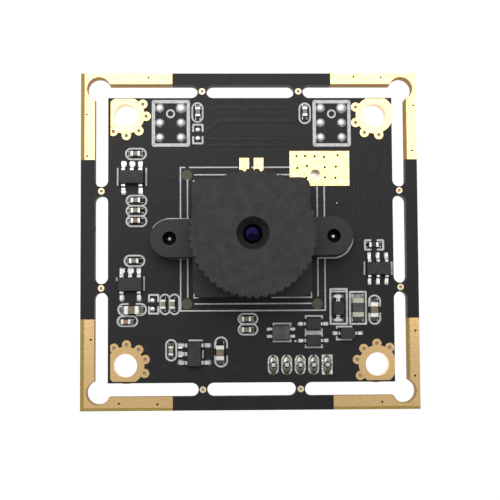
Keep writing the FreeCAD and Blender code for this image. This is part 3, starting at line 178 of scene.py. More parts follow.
class Finish(Sheet):
    """A material, with shorthands for the nodes that finishes share."""

    def __init__(self, name):
        self.material = bpy.data.materials.new(name)
        super().__init__(self.material)

    def place(self):
        """Where the surface is, in the part's own millimetres."""
        return self.node("ShaderNodeTexCoord", output="Object") * (1 / MM)

    def noise(self, grain, detail=2.0, stretch=(1.0, 1.0, 1.0)):
        """Blotches about grain millimetres across, from 0 to 1, around 0.5."""
        scaled = self.place() * tuple(1.0 / (grain * share) for share in stretch)
        return self.node("ShaderNodeTexNoise", None, {"Vector": scaled, "Scale": 1.0, "Detail": detail})

    def step(self, value, low, high):
        """0 below low, 1 above high, and smooth between them."""
        limits = {"Value": value, "From Min": low, "From Max": high}
        return self.node("ShaderNodeMapRange", {"interpolation_type": "SMOOTHSTEP"}, limits)

    def mix(self, share, first, second):
        """The first colour at share 0, the second at share 1."""
        return self.node("ShaderNodeMix", {"data_type": "RGBA"}, {0: share, 6: first, 7: second}, 2)

    def relief(self, height):
        """Bumps of a height given in millimetres."""
        return self.node("ShaderNodeBump", None, {"Height": height, "Strength": 1.0, "Distance": MM})

    def end(self, shader):
        """Hand a shader to the material."""
        self.node("ShaderNodeOutputMaterial", None, {"Surface": shader})

    def coat(self, sockets):
        """Hand the material the one shader that most finishes need."""
        self.end(self.node("ShaderNodeBsdfPrincipled", None, sockets))


def paint(red, green, blue):
    """A colour as a screen shows it, 0 to 255, turned into the shader's linear numbers."""
    shares = [level / 255 for level in (red, green, blue)]
    return tuple(s / 12.92 if s < 0.04045 else ((s + 0.055) / 1.055) ** 2.4 for s in shares) + (1.0,)


print("mid grey 128 is", round(paint(128, 128, 128)[0], 3), "to the shader")

# %% [markdown]
# ## Light
#
# The photograph was taken under a large soft light overhead, a little beyond the board's top edge.
# The room round it is dimmer, and its light fades towards the horizon. An even grey world would be
# simpler, but it flattens the solder domes and the lens, whose look is all reflections. So the
# world is brightest overhead and fades softly towards the horizon.

# %% World
BRIGHT_WAY = (-0.06, 0.26, 0.96)
FADE_FROM, FADE_TO = -0.1, 1.0
WORLD_DARK, WORLD_BRIGHT = 0.05, 0.62

world = bpy.data.worlds.new("studio")
sky = Sheet(world)
toward = sky.node("ShaderNodeTexCoord", output="Generated")
along = sky.node("ShaderNodeVectorMath", {"operation": "DOT_PRODUCT"}, {0: toward, 1: BRIGHT_WAY}, "Value")
fade = sky.node("ShaderNodeMapRange", {"interpolation_type": "SMOOTHSTEP"}, {
    "Value": along, "From Min": FADE_FROM, "From Max": FADE_TO, "To Min": WORLD_DARK, "To Max": WORLD_BRIGHT})
backdrop = sky.node("ShaderNodeBackground", None, {"Color": fade})
sky.node("ShaderNodeOutputWorld", None, {"Surface": backdrop})
bpy.context.scene.world = world
print("world fades from", WORLD_BRIGHT, "to", WORLD_DARK)

# %% [markdown]
# The softbox is a cloth-fronted lamp of a quarter of a metre. Several small lamps would add up to
# as much light, but each would leave its own spot in the gold. One square area lamp mirrors as one
# even patch. Its strength is stated as a level, which the lamp's size turns into watts.

# %% Softbox
SOFTBOX_LEVEL = 2.1
SOFTBOX_SIDE = 240.0
SOFTBOX_PLACE = (-38.0, 80.0, 240.0)

softbox_data = bpy.data.lights.new("softbox", "AREA")
softbox_data.shape = "SQUARE"
softbox_data.size = SOFTBOX_SIDE * MM
softbox_data.energy = SOFTBOX_LEVEL * math.pi * softbox_data.size ** 2
softbox = bpy.data.objects.new("softbox", softbox_data)
softbox.location = Vector(SOFTBOX_PLACE) * MM
softbox.rotation_euler = (-softbox.location).to_track_quat("-Z", "Y").to_euler()
bpy.context.scene.collection.objects.link(softbox)
print("softbox gives", round(softbox_data.energy, 3), "W")

# %% [markdown]
# Flat gold is nearly white along the board's top and brown along its bottom, because down there it
# mirrors the dark body of the camera. Painting the gold darker there would look wrong from any
# other side. A black card just above the camera does what the camera's body did: it mirrors and
# shades. It glows a little, as a dark body in a bright room does, and the camera doesn't see it.

# %% Card over the camera
CARD_MIDDLE = (-2.0, -43.0, 150.0)
CARD_RADIUS = 62.0
CARD_SIDES = 48
CARD_GRAIN = 8.0
CARD_ROUGHNESS = 0.8
CARD_GLOW = 0.5

card_paint = Finish("card_black")
card_paint.coat({
    "Base Color": card_paint.mix(card_paint.noise(CARD_GRAIN), paint(30, 30, 31), paint(44, 44, 45)),
    "Roughness": CARD_ROUGHNESS,
    "Emission Color": (1.0, 1.0, 1.0, 1.0),
    "Emission Strength": CARD_GLOW,
})
card_mesh = bmesh.new()
bmesh.ops.create_circle(card_mesh, cap_ends=True, segments=CARD_SIDES, radius=CARD_RADIUS * MM)
bmesh.ops.translate(card_mesh, verts=card_mesh.verts, vec=Vector(CARD_MIDDLE) * MM)
card_data = bpy.data.meshes.new("card")
card_mesh.to_mesh(card_data)
card_mesh.free()
card_data.materials.append(card_paint.material)
card = bpy.data.objects.new("card", card_data)
card.visible_camera = False
bpy.context.scene.collection.objects.link(card)
print("the card is", CARD_RADIUS * 2, "mm across")

# %% [markdown]
# The module lies on a plain pale sheet with its connector down. White paint alone would need more
# light to look white, and that light would wash out the board. So the sheet glows to the camera and
# to mirrors, which see it as white paper, and a small share of plain paint carries the shadow.

# %% Ground
GROUND_SIDE = 8000.0
GROUND_PAINT = (0.88, 0.88, 0.88, 1.0)
GLOW_SHARE = 0.96
GLOW_LEVEL = 1.06

paper = Finish("ground_paper")
rays = paper.node("ShaderNodeLightPath", output="Is Camera Ray")
seen = calculated("MAXIMUM", rays, rays.other("Is Glossy Ray"))
seen = calculated("MAXIMUM", seen, rays.other("Is Transmission Ray"))
plain = paper.node("ShaderNodeBsdfDiffuse", None, {"Color": GROUND_PAINT})
glow = paper.node("ShaderNodeEmission", None, {"Color": (1.0, 1.0, 1.0, 1.0), "Strength": GLOW_LEVEL})
paper.end(paper.node("ShaderNodeMixShader", None, {0: seen * GLOW_SHARE, 1: plain, 2: glow}))

ground_mesh = bpy.data.meshes.new("ground")
half = GROUND_SIDE / 2 * MM
level = cad_box[0][2]
corners = [(x, y, level) for x, y in ((-half, -half), (half, -half), (half, half), (-half, half))]
ground_mesh.from_pydata(corners, [], [(0, 1, 2, 3)])
ground_mesh.materials.append(paper.material)
ground = bpy.data.objects.new("ground", ground_mesh)
bpy.context.scene.collection.objects.link(ground)
print("the ground lies", round(-level / MM, 2), "mm below the board's back")

# %% [markdown]
# ## Circuit board
#
# The board is glass cloth in yellow-brown resin, with black solder mask over both faces. Where the
# mask stops short of the board's outer edge beside the gold strips, bare resin shows. Three round
# windows in the mask sit at the corners of the lens holder. In the corners the slots' walls are
# plated, and their gold is painted a dark brown as painted shade. The other routed walls are painted
# far darker than the bare resin on top, also as painted shade. Each region could be a face with a
# material of its own, but the board is one solid that keeps its mesh, so one finish tells the
# regions apart by place.

# %% Regions of the board
BOARD_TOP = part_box("circuit_board")[1].z / MM
ART_SHIFT = (0.15, 0.045)
STRIP_END = 8.92
FRAME_INNER = 17.4
OUTER_WALL = 18.6
WINDOWS = ((-7.13, 7.22), (-7.18, -7.22), (7.37, -7.27))
WINDOW_RADIUS = 0.6
EDGE = 0.02
WALL_FROM, WALL_FULL = 0.01, 0.03
PLATING_FADE = 0.1

board = Finish("board_mask")
across = board.node("ShaderNodeSeparateXYZ", None, {0: board.place()})
up, high = across.other("Y"), across.other("Z")
from_middle = calculated("MAXIMUM", calculated("ABSOLUTE", across), calculated("ABSOLUTE", up))
past_strip_x = board.step(calculated("ABSOLUTE", across - ART_SHIFT[0]), STRIP_END - EDGE, STRIP_END + EDGE)
past_strip_y = board.step(calculated("ABSOLUTE", up - ART_SHIFT[1]), STRIP_END - EDGE, STRIP_END + EDGE)
in_corner = past_strip_x * past_strip_y * board.step(from_middle, FRAME_INNER, FRAME_INNER + EDGE)
on_top = board.step(high, BOARD_TOP - WALL_FULL, BOARD_TOP - WALL_FROM)
wall = board.step(high, WALL_FROM, WALL_FULL) * (1 - on_top)
plated = wall * in_corner * (1 - board.step(from_middle, OUTER_WALL - PLATING_FADE, OUTER_WALL))
window = 0.0
for x, y in WINDOWS:
    far = (across - x) * (across - x) + (up - y) * (up - y)
    window = window + (1 - board.step(far, (WINDOW_RADIUS - EDGE) ** 2, (WINDOW_RADIUS + EDGE) ** 2))
print("board top at", round(BOARD_TOP, 3), "mm, windows in the mask:", len(WINDOWS))

# %% [markdown]
# The mask is a satin film with faint streaks and an orange-peel skin, and the routed walls show the
# layers of the cloth under a dark tone of painted shade. Noise stretched far along the board and
# little through it gives such layers. Masks that never overlap could pick one tone each, but a later
# tone laid over the earlier ones is shorter to write: mask, windows, bare resin, walls, and last the
# plating on some of the walls, in a brown gold of painted shade.

# %% Board finish
MASK_DARK, MASK_LIGHT = paint(13, 14, 17), paint(23, 24, 28)
WINDOW_DEEP, WINDOW_PALE = paint(84, 84, 71), paint(107, 105, 90)
RESIN_DEEP, RESIN = paint(158, 134, 60), paint(190, 166, 84)
# The walls' two tones are painted shade, far darker than the resin on top, and the plating on the corner
# walls is a brown gold of painted shade.
SHADED_CLOTH_DARK, SHADED_CLOTH = paint(40, 38, 30), paint(74, 70, 52)
SHADED_PLATING = paint(176, 132, 70)
MASK_SHINE = 0.33
MASK_ROUGHNESS, ROUGHER_SHARE = 0.40, 0.12
PEEL_GRAIN, PEEL_DEPTH = 0.22, 0.004
STREAK_GRAIN, STREAK_DEPTH = 2.6, 0.02
STREAK_STRETCH = (1.6, 1.0, 1.0)
LAYER_GRAIN = 0.5
LAYER_STRETCH = (4.0, 4.0, 0.16)

streaks = board.noise(STREAK_GRAIN, 3.0, STREAK_STRETCH)
peel = board.noise(PEEL_GRAIN, 2.0)
layers = board.noise(LAYER_GRAIN, 2.0, LAYER_STRETCH)
colour = board.mix(board.step(streaks, 0.35, 0.7), MASK_DARK, MASK_LIGHT)
colour = board.mix(window * on_top, colour, board.mix(peel, WINDOW_DEEP, WINDOW_PALE))
colour = board.mix(in_corner * on_top, colour, board.mix(peel, RESIN_DEEP, RESIN))
# Walls take the dark tones of painted shade, then plated walls take the brown gold of painted shade.
colour = board.mix(wall, colour, board.mix(board.step(layers, 0.4, 0.6), SHADED_CLOTH_DARK, SHADED_CLOTH))
colour = board.mix(plated, colour, SHADED_PLATING)
bare = board.step(window + in_corner * on_top + wall, 0.2, 0.8)
board.coat({
    "Base Color": colour,
    "Metallic": plated,
    "Specular IOR Level": MASK_SHINE,
    "Roughness": MASK_ROUGHNESS + streaks * ROUGHER_SHARE + bare * ROUGHER_SHARE,
    "Normal": board.relief(peel * PEEL_DEPTH + streaks * STREAK_DEPTH + layers * wall * STREAK_DEPTH),
})
print("board finish has", len(board.tree.nodes), "nodes")

# %% [markdown]
# ## Gold and solder
#
# The pads are copper with nickel and a thin layer of gold. The gold is almost a mirror, broken by
# the etched copper's fine grain, so it takes its brightness from the softbox and its depth from the
# colour. Solder is a brighter, colder metal that froze in a skin: it is smooth over a millimetre
# and faintly pitted below a tenth, with a dull film of flux in places. Each could have a sheet of
# its own, but they differ only in numbers, so one recipe serves them all.

# %% Metal finishes
BLOTCH_FROM, BLOTCH_FULL = 0.38, 0.66
GRAINS_IN_BLOTCH = 6
GRAIN_ROUGHNESS, GRAIN_RIPPLE = 0.06, 0.15
RIPPLE_IN_BLOTCH = 0.8


def metal(name, bright, deep, blotch, roughness, film, ripple):
    """A metal with blotches of a deeper tone, which are also duller."""
    made = Finish(name)
    share = made.step(made.noise(blotch, 3.0), BLOTCH_FROM, BLOTCH_FULL)
    fine = made.noise(blotch / GRAINS_IN_BLOTCH, 2.0)
    waves = made.noise(blotch * RIPPLE_IN_BLOTCH, 1.0)
    made.coat({
        "Base Color": made.mix(share, bright + (1.0,), deep + (1.0,)),
        "Metallic": 1.0,
        "Roughness": roughness + share * film + fine * GRAIN_ROUGHNESS,
        "Normal": made.relief(waves * ripple + fine * ripple * GRAIN_RIPPLE),
    })
    return made


# bright tone, deep tone, size of a blotch, roughness, how much duller a blotch is, ripple's height
METALS = {
    "gold_plating": ((1.00, 0.69, 0.33), (0.86, 0.57, 0.25), 0.42, 0.16, 0.06, 0.0065),
    "eyelet_gold": ((0.93, 0.76, 0.52), (0.80, 0.64, 0.43), 0.30, 0.36, 0.06, 0.003),
    "solder": ((0.90, 0.90, 0.88), (0.62, 0.63, 0.61), 0.45, 0.14, 0.12, 0.014),
    "bump_solder": ((1.00, 1.00, 0.99), (0.84, 0.85, 0.84), 0.45, 0.40, 0.10, 0.012),
    "end_cap_tin": ((0.88, 0.87, 0.83), (0.66, 0.65, 0.61), 0.25, 0.30, 0.14, 0.004),
    "lead_tin": ((0.82, 0.82, 0.82), (0.48, 0.48, 0.48), 0.24, 0.24, 0.10, 0.006),
    "screw_steel": ((0.42, 0.42, 0.43), (0.26, 0.26, 0.27), 0.30, 0.26, 0.12, 0.003),
    "crystal_metal": ((0.80, 0.80, 0.80), (0.68, 0.68, 0.69), 0.60, 0.28, 0.10, 0.004),
}
metals = {name: metal(name, *numbers) for name, numbers in METALS.items()}
print("metals:", ", ".join(metals))

# %% [markdown]
# The connector was soldered by hand. The middle of each joint is painted a dark brown-green round the
# pin, as painted shade, and the two long sides of a joint are bright bare metal. The painted shade
# reaches further below the row of pins than above it. The finish measures how far a point is from
# the nearest pin and lays the painted shade there.

# %% Hand-soldered joints
PIN_PITCH = 1.5
JOINT_HALF = 0.6
BARE_BRIGHT, BARE_DULL = (0.92, 0.92, 0.88, 1.0), (0.66, 0.67, 0.63, 1.0)
# The two tones of the painted shade round each pin.
PIN_SHADE_DARK, PIN_SHADE_PALE = paint(70, 80, 74), paint(160, 152, 128)
PIN_SHADE_INNER, PIN_SHADE_OUTER = 0.32, 0.60
PIN_SHADE_WANDER, PIN_SHADE_FROM_TOP = 0.36, 0.12
WANDER_GRAIN = 0.35
JOINT_ROUGHNESS, PIN_SHADE_ROUGHER, WANDER_ROUGHER = 0.12, 0.12, 0.1
JOINT_RIPPLE = 0.05

low_corner, high_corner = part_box("connector_solder_joints")
first_pin = low_corner.x / MM + JOINT_HALF
pins_line = (low_corner.y + high_corner.y) / 2 / MM

joint_solder = Finish("joint_solder")
sideways = joint_solder.node("ShaderNodeSeparateXYZ", None, {0: joint_solder.place()})
off_pin = calculated("PINGPONG", sideways - first_pin + PIN_PITCH * 4, PIN_PITCH / 2)
wander = joint_solder.noise(WANDER_GRAIN, 3.0)
# The painted shade round each pin reaches further below the row of pins than above it.
toward_top = joint_solder.step(sideways.other("Y"), pins_line, pins_line + JOINT_HALF)
reach = off_pin + wander * PIN_SHADE_WANDER + toward_top * PIN_SHADE_FROM_TOP
pin_shade = 1 - joint_solder.step(reach, PIN_SHADE_INNER, PIN_SHADE_OUTER)
metal_tone = joint_solder.mix(wander, BARE_BRIGHT, BARE_DULL)
pin_shade_tone = joint_solder.mix(wander, PIN_SHADE_DARK, PIN_SHADE_PALE)
joint_solder.coat({
    "Base Color": joint_solder.mix(pin_shade, metal_tone, pin_shade_tone),
    "Metallic": 1.0,
    "Roughness": JOINT_ROUGHNESS + pin_shade * PIN_SHADE_ROUGHER + wander * WANDER_ROUGHER,
    "Normal": joint_solder.relief(wander * JOINT_RIPPLE),
})
print("the first pin stands at x", round(first_pin, 2))

# %% [markdown]
# ## Mouldings and ceramics
#
# Chip packages are black epoxy, moulded in a spark-worn die, so their tops are evenly rough. The
# lens holder is a smoother moulding of the same darkness. Chip capacitors are fired ceramic, which
# is dense and a little speckled. One recipe serves them all here too: two close tones in blotches,
# a skin of fine grain for relief, and a roughness that wanders with the grain.

# %% Moulded finish
BLOTCH_SHARE, SKIN_SHARE = 0.6, 0.4
LIGHT_FROM, LIGHT_FULL = 0.36, 0.64
SKIN_ROUGHER = 0.14
BLOTCH_RELIEF = 0.5


def moulding(name, dark, light, blotch, roughness, grain, relief, shine=0.5):
    """A dull solid colour with blotches, over a fine moulded grain."""
    made = Finish(name)
    share = made.noise(blotch, 3.0)
    skin = made.noise(grain, 2.0)
    tone = made.step(share * BLOTCH_SHARE + skin * SKIN_SHARE, LIGHT_FROM, LIGHT_FULL)
    made.coat({
        "Base Color": made.mix(tone, paint(*dark), paint(*light)),
        "Roughness": roughness + skin * SKIN_ROUGHER,
        "Specular IOR Level": shine,
        "Normal": made.relief(skin * relief + share * relief * BLOTCH_RELIEF),
    })
    return made


# dark tone and light tone as a screen shows them, size of a blotch, roughness, grain, relief
MOULDINGS = {
    "holder_plastic": ((20, 20, 22), (29, 29, 31), 1.6, 0.42, 0.10, 0.004),
    "ring_black": ((20, 20, 21), (30, 30, 31), 0.6, 0.45, 0.08, 0.003),
    "package_black": ((34, 34, 35), (49, 49, 50), 0.5, 0.50, 0.07, 0.006),
    "package_grey": ((66, 65, 66), (98, 97, 97), 0.6, 0.36, 0.08, 0.006),
    "capacitor_grey": ((138, 134, 112), (168, 164, 142), 0.4, 0.40, 0.06, 0.003),
    "capacitor_brown": ((150, 112, 98), (182, 142, 126), 0.3, 0.40, 0.06, 0.003),
    "capacitor_tan": ((114, 99, 78), (144, 127, 102), 0.5, 0.40, 0.06, 0.003),
    "resistor_black": ((26, 26, 28), (40, 40, 42), 0.3, 0.30, 0.08, 0.002),
    "bead_black": ((70, 68, 66), (90, 88, 85), 0.4, 0.45, 0.08, 0.004),
    "bead_cream": ((196, 193, 170), (218, 215, 194), 0.4, 0.40, 0.10, 0.004),
    "housing_white": ((226, 224, 214), (238, 236, 228), 2.0, 0.38, 0.12, 0.003),
    "sensor_ceramic": ((60, 58, 56), (80, 78, 75), 0.8, 0.45, 0.08, 0.003),
    "silicon": ((58, 62, 84), (72, 66, 92), 0.3, 0.16, 0.03, 0.0005),
}
mouldings = {name: moulding(name, *numbers) for name, numbers in MOULDINGS.items()}
print("mouldings:", ", ".join(mouldings))

# %% [markdown]
# ## Lens barrel
#
# The barrel is dark and dull, with a fine even grain over its flat head, which looks like blasted
# metal in the photograph. Below the head it carries a fine screw thread. The thread is half a
# millimetre from crest to crest and a third of that deep, so a helical relief in the finish shows it
# as well as geometry would: the height along the axis, less the angle round it, in turns.

# %% Barrel finish
THREAD_PITCH = 0.5
THREAD_DEPTH = 0.16
THREAD_RADIUS = 5.8
THREAD_TURNS = 20
THREAD_FROM, THREAD_FULL = 0.2, 0.1
HEAD_BOTTOM = 7.0
HEAD_FROM, HEAD_FULL = 0.05, 0.01
BARREL_DARK, BARREL_LIGHT = paint(23, 24, 28), paint(51, 49, 48)
BARREL_ROUGHNESS, BLAST_ROUGHER = 0.50, 0.16
BLAST_GRAIN, BLAST_SHARE, BLAST_DEPTH = 0.13, 0.55, 0.014
CLOUD_GRAIN, CLOUD_SHARE, CLOUD_DEPTH = 0.9, 0.45, 0.006

barrel_black = Finish("barrel_black")
x_part = barrel_black.node("ShaderNodeSeparateXYZ", None, {0: barrel_black.place()})
y_part, z_part = x_part.other("Y"), x_part.other("Z")
turned = calculated("ARCTAN2", y_part, x_part) / math.tau
ridge = calculated("PINGPONG", z_part / THREAD_PITCH - turned + THREAD_TURNS, 0.5) * 2.0
radius_squared = x_part * x_part + y_part * y_part
outside = barrel_black.step(
    radius_squared, (THREAD_RADIUS - THREAD_FROM) ** 2, (THREAD_RADIUS - THREAD_FULL) ** 2)
threaded = outside * (1 - barrel_black.step(z_part, HEAD_BOTTOM - HEAD_FROM, HEAD_BOTTOM - HEAD_FULL))
blast = barrel_black.noise(BLAST_GRAIN, 2.0)
cloud = barrel_black.noise(CLOUD_GRAIN, 3.0)
tone = barrel_black.step(blast * BLAST_SHARE + cloud * CLOUD_SHARE, 0.38, 0.62)
skin = blast * BLAST_DEPTH + cloud * CLOUD_DEPTH
barrel_black.coat({
    "Base Color": barrel_black.mix(tone, BARREL_DARK, BARREL_LIGHT),
    "Roughness": BARREL_ROUGHNESS + blast * BLAST_ROUGHER,
    "Normal": barrel_black.relief(skin + ridge * threaded * THREAD_DEPTH),
})
print("barrel finish has", len(barrel_black.tree.nodes), "nodes")

# %% [markdown]
# ## Glass
#
# The front lens is coated. The coating turns its reflections violet, and what it lets through falls
# into the dark barrel, so from above the glass is nearly black with a violet patch where the
# softbox mirrors in it. A tint on the shader's reflections gives that without any trick of view.

# %% Glass finishes
DUST_GRAIN = 0.3
DUST_FROM, DUST_FULL = 0.6, 0.8
DUST_BRIGHTER = 1.15
CLEAN_ROUGHNESS, DUST_ROUGHER = 0.03, 0.05


def glass(name, body, tint, clearness, index):
    """Glass with coloured reflections and a faint mottle of dust in its roughness."""
    made = Finish(name)
    dust = made.noise(DUST_GRAIN, 3.0)
    dusty = tuple(share * DUST_BRIGHTER for share in body[:3]) + (1.0,)
    made.coat({
        "Base Color": made.mix(dust, body, dusty),
        "Roughness": CLEAN_ROUGHNESS + made.step(dust, DUST_FROM, DUST_FULL) * DUST_ROUGHER,
        "IOR": index,
        "Specular Tint": tint,
        "Transmission Weight": clearness,
    })
    return made


lens_glass = glass("lens_glass", paint(6, 6, 9), (0.11, 0.05, 0.34, 1.0), 0.0, 1.7)
filter_glass = glass("filter_glass", paint(120, 190, 190), (1.0, 0.75, 0.8, 1.0), 0.7, 1.5)
print("glass finishes: 2")

# %% [markdown]
# ## Dressing the solids
#
# The record names a material slot for every solid. Handing the finishes out node by node would make
# a long list, so they go by slot, and only three nodes have a finish of their own. The solids keep
# their meshes and places: only their materials change.

# %% Dress the solids
slot_finishes = {
    **metals, **mouldings, "board": board, "gold": metals["gold_plating"],
    "tinned_cap": metals["end_cap_tin"], "lens_black": barrel_black,
    "lens_glass": lens_glass, "filter_glass": filter_glass,
}
own_finishes = {
    "microphone_pad_bumps": metals["bump_solder"],
    "connector_solder_joints": joint_solder,
    "bridge_vias": metals["eyelet_gold"],
}

for part in frame["record"]["subparts"]:
    solid = frame["nodes"][part["node"]]
    finish = own_finishes.get(part["node"], slot_finishes[part["material_slot"]])
    solid.data.materials.clear()
    solid.data.materials.append(finish.material)

# %% [markdown]
# ## Printed lines
#
# The board's white print is ink about a fiftieth of a millimetre thick, laid through a screen over
# the cured mask. Its lines have rounded ends and soft rims. It could be painted in the board's
# finish, but a painted line has no thickness and blurs when baked. So a line is a low ribbon along
# a path: flat on top, sloping at both rims, with tapering rows at an open end. Each ribbon lies a
# hair higher or lower than its neighbours, so that two that share a line never coincide.

# %% A ribbon of ink
INK_HEIGHT = 0.018
INK_RIM = 0.03
INK_SINK = -0.002
LEVEL_STEP, LEVELS = 0.00005, 89
NARROWEST_TOP = 0.3
SHARPEST_MITRE = 0.5
END_ANGLES = (25, 50, 72, 86)


def rows_of(path, closed):
    """Each point of a path with the direction across it, lengthened where the path turns."""
    rows = []
    for index, point in enumerate(path):
        ways = []
        if closed or index:
            ways.append((point - path[index - 1]).normalized())
        if closed or index < len(path) - 1:
            ways.append((path[(index + 1) % len(path)] - point).normalized())
        along = sum(ways, Vector((0.0, 0.0))).normalized()
        side = Vector((-along.y, along.x))
        mitre = max(SHARPEST_MITRE, side.dot(Vector((-ways[0].y, ways[0].x))))
        rows.append((point, side / mitre, 1.0))
    return rows


def rounded_end(point, inward, side, half):
    """Rows that taper a ribbon to a round end."""
    ends = []
    for angle in END_ANGLES:
        turn = math.radians(angle)
        ends.append((point - inward * half * math.sin(turn), side, math.cos(turn)))
    return ends


def ribbon(mesh, path, width, closed=False, height=INK_HEIGHT, rim=INK_RIM):
    """A flat line with sloping rims, laid on the board along a path."""
    path = [Vector(point) for point in path]
    half = width / 2
    rows = rows_of(path, closed)
    if not closed:
        first = rounded_end(path[0], (path[1] - path[0]).normalized(), rows[0][1], half)
        last = rounded_end(path[-1], (path[-2] - path[-1]).normalized(), rows[-1][1], half)
        rows = first[::-1] + rows + last
    height += LEVEL_STEP * (len(mesh.verts) % LEVELS)
    lines = []
    for point, side, share in rows:
        outer = half * share
        inner = max(outer - rim, outer * NARROWEST_TOP)
        section = ((-outer, INK_SINK), (-inner, height), (inner, height), (outer, INK_SINK))
        lines.append([
            mesh.verts.new(((point + side * reach).to_3d() + Vector((0, 0, BOARD_TOP + rise))) * MM)
            for reach, rise in section])
    pairs = list(zip(lines, lines[1:])) + ([(lines[-1], lines[0])] if closed else [])
    for before, after in pairs:
        for index in range(3):
            mesh.faces.new((before[index], after[index], after[index + 1], before[index + 1]))


def piece(name, mesh, finish, body="module", smooth=False):
    """Turn finished mesh code into an object that rides on a body of the frame."""
    bmesh.ops.recalc_face_normals(mesh, faces=mesh.faces)
    data = bpy.data.meshes.new(name)
    mesh.to_mesh(data)
    mesh.free()
    data.materials.append(finish.material)
    for face in data.polygons:
        face.use_smooth = smooth
    made = bpy.data.objects.new(name, data)
    bpy.context.scene.collection.objects.link(made)
    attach(made, body)
    print(name, "has", len(data.polygons), "faces")
    return made


print("ink is", INK_HEIGHT, "mm high")

# %% [markdown]
# Most outlines are one shape with different numbers: a box whose corners may be round up to a full
# half circle, which may be left open in the middle of its long sides, and which lies or stands.

# %% Outline shapes
STRAIGHT_LEFT = 0.001


def arc(middle, radius, start, end, steps=8):
    """Points along an arc, with angles in degrees."""
    angles = [math.radians(start + (end - start) * step / steps) for step in range(steps + 1)]
    return [(middle[0] + radius * math.cos(turn), middle[1] + radius * math.sin(turn)) for turn in angles]


def outline(mesh, middle, long, wide, width, corner=None, gap=0.0, stands=False):
    """A box or a long ring round a component, open by gap in the middle of its long sides."""
    corner = wide / 2 - STRAIGHT_LEFT if corner is None else corner
    right, top = long / 2 - corner, wide / 2 - corner
    end = arc((right, top), corner, 90, 0) + arc((right, -top), corner, 0, -90)
    if gap:
        halves = [[(gap / 2, wide / 2)] + end + [(gap / 2, -wide / 2)]]
        halves.append([(-x, y) for x, y in halves[0]])
    else:
        halves = [end + [(-x, y) for x, y in reversed(end)]]
    for half_path in halves:
        if stands:
            half_path = [(-y, x) for x, y in half_path]
        shifted = [(middle[0] + x, middle[1] + y) for x, y in half_path]
        ribbon(mesh, shifted, width, closed=not gap)


print("a quarter arc has", len(arc((0, 0), 1, 0, 90)), "points")

# %% [markdown]
# The ink itself is off-white and slightly uneven, because the screen leaves it thinner in places.
# A picture of the print could be laid over the board, but its lines are few and of few kinds. So
# they are listed by kind, in millimetres, and a loop draws each kind: rings and boxes round parts,
# single bars beside them, hooks over their ends, and dots.

# %% Print round the components
print_white = moulding("print_white", (208, 208, 209), (236, 236, 236), 0.5, 0.55, 0.10, 0.004)
LINE = 0.19
THIN = 0.16
BOX_LINE = 0.22
BOX_CORNER = 0.06
DOT_HALF = 0.02

# middle, length, width, gap in the long sides, standing
RINGS = (
    ((-12.85, 9.62), 2.24, 1.20, 0, False), ((-12.78, 4.36), 2.24, 1.14, 0, False),
    ((-12.78, 3.21), 2.24, 1.12, 0, False), ((-12.78, 2.06), 2.24, 1.14, 0, False),
    ((-13.00, -2.38), 2.22, 1.18, 0, False), ((-13.78, -9.09), 2.20, 1.10, 0, False),
    ((-0.39, -8.90), 2.12, 1.12, 0, False), ((-0.39, -10.08), 2.12, 1.14, 0, False),
    ((-5.94, 14.30), 2.14, 1.17, 0, True), ((6.14, 14.20), 2.26, 1.20, 0, True),
    ((-9.61, -7.24), 2.20, 1.02, 0, True), ((-8.55, -7.24), 2.20, 1.02, 0, True),
    ((-8.93, -12.33), 2.28, 1.12, 0, True), ((-13.25, -7.80), 3.08, 1.26, 0.95, False),
    ((-3.40, -12.55), 3.24, 1.34, 0.95, True), ((13.76, -7.95), 3.18, 1.24, 0.86, True),
)
BOXES = (
    ((13.79, -0.71), 2.04, 1.05, 0.82, False), ((-5.90, 11.86), 2.12, 1.06, 0.66, True),
    ((-10.87, -7.22), 2.08, 1.03, 0.66, True), ((9.74, -7.57), 3.88, 1.84, 0, True),
    ((11.90, -7.74), 3.56, 1.77, 0, True),
)
BARS = (
    ((-11.70, 6.12), (-11.70, 7.97)), ((-14.88, 6.13), (-14.88, 7.98)), ((-11.94, -4.20), (-11.94, -5.63)),
    ((-14.95, -4.28), (-14.95, -4.54)), ((-6.92, -11.25), (-5.50, -11.26)),
    ((-5.42, -12.40), (-5.43, -13.19)), ((12.69, -2.63), (12.69, -4.00)),
    ((15.74, -2.65), (15.74, -4.01)), ((8.86, -5.90), (10.62, -5.90)), ((6.06, -10.50), (7.84, -10.50)),
)
HOOKS = (
    ((2.45, -9.68), (2.45, -9.44), (4.34, -9.44), (4.34, -9.68)),
    ((2.45, -11.18), (2.45, -11.42), (4.34, -11.42), (4.34, -11.20)),
    ((6.04, -8.88), (6.04, -8.62), (7.88, -8.63), (7.88, -8.89)),
    ((6.02, -11.84), (6.02, -12.09), (7.84, -12.10), (7.84, -11.85)),
    ((9.50, -9.98), (9.50, -9.82), (11.14, -9.82), (11.14, -9.98)),
    ((9.50, -10.98), (9.50, -11.25), (11.14, -11.25), (11.14, -10.98)),
    ((6.02, -10.06), (6.02, -10.32), (7.84, -10.32), (7.84, -10.06)),
    ((6.02, -10.84), (6.02, -10.62), (7.84, -10.62), (7.84, -10.84)),
)
# middle, width
DOTS = (((4.87, -11.40), 0.24), ((9.66, 4.04), 0.15), ((0.22, 8.07), 0.24), ((-6.36, 6.53), 0.24))

ink = bmesh.new()
for middle, long, wide, gap, stands in RINGS:
    outline(ink, middle, long, wide, LINE, gap=gap, stands=stands)
for middle, long, wide, gap, stands in BOXES:
    outline(ink, middle, long, wide, BOX_LINE, corner=BOX_CORNER, gap=gap, stands=stands)
for ends in BARS:
    ribbon(ink, ends, LINE)
for corners in HOOKS:
    ribbon(ink, corners, LINE)
for (x, y), width in DOTS:
    ribbon(ink, ((x - DOT_HALF, y), (x + DOT_HALF, y)), width)
piece("component_print", ink, print_white)

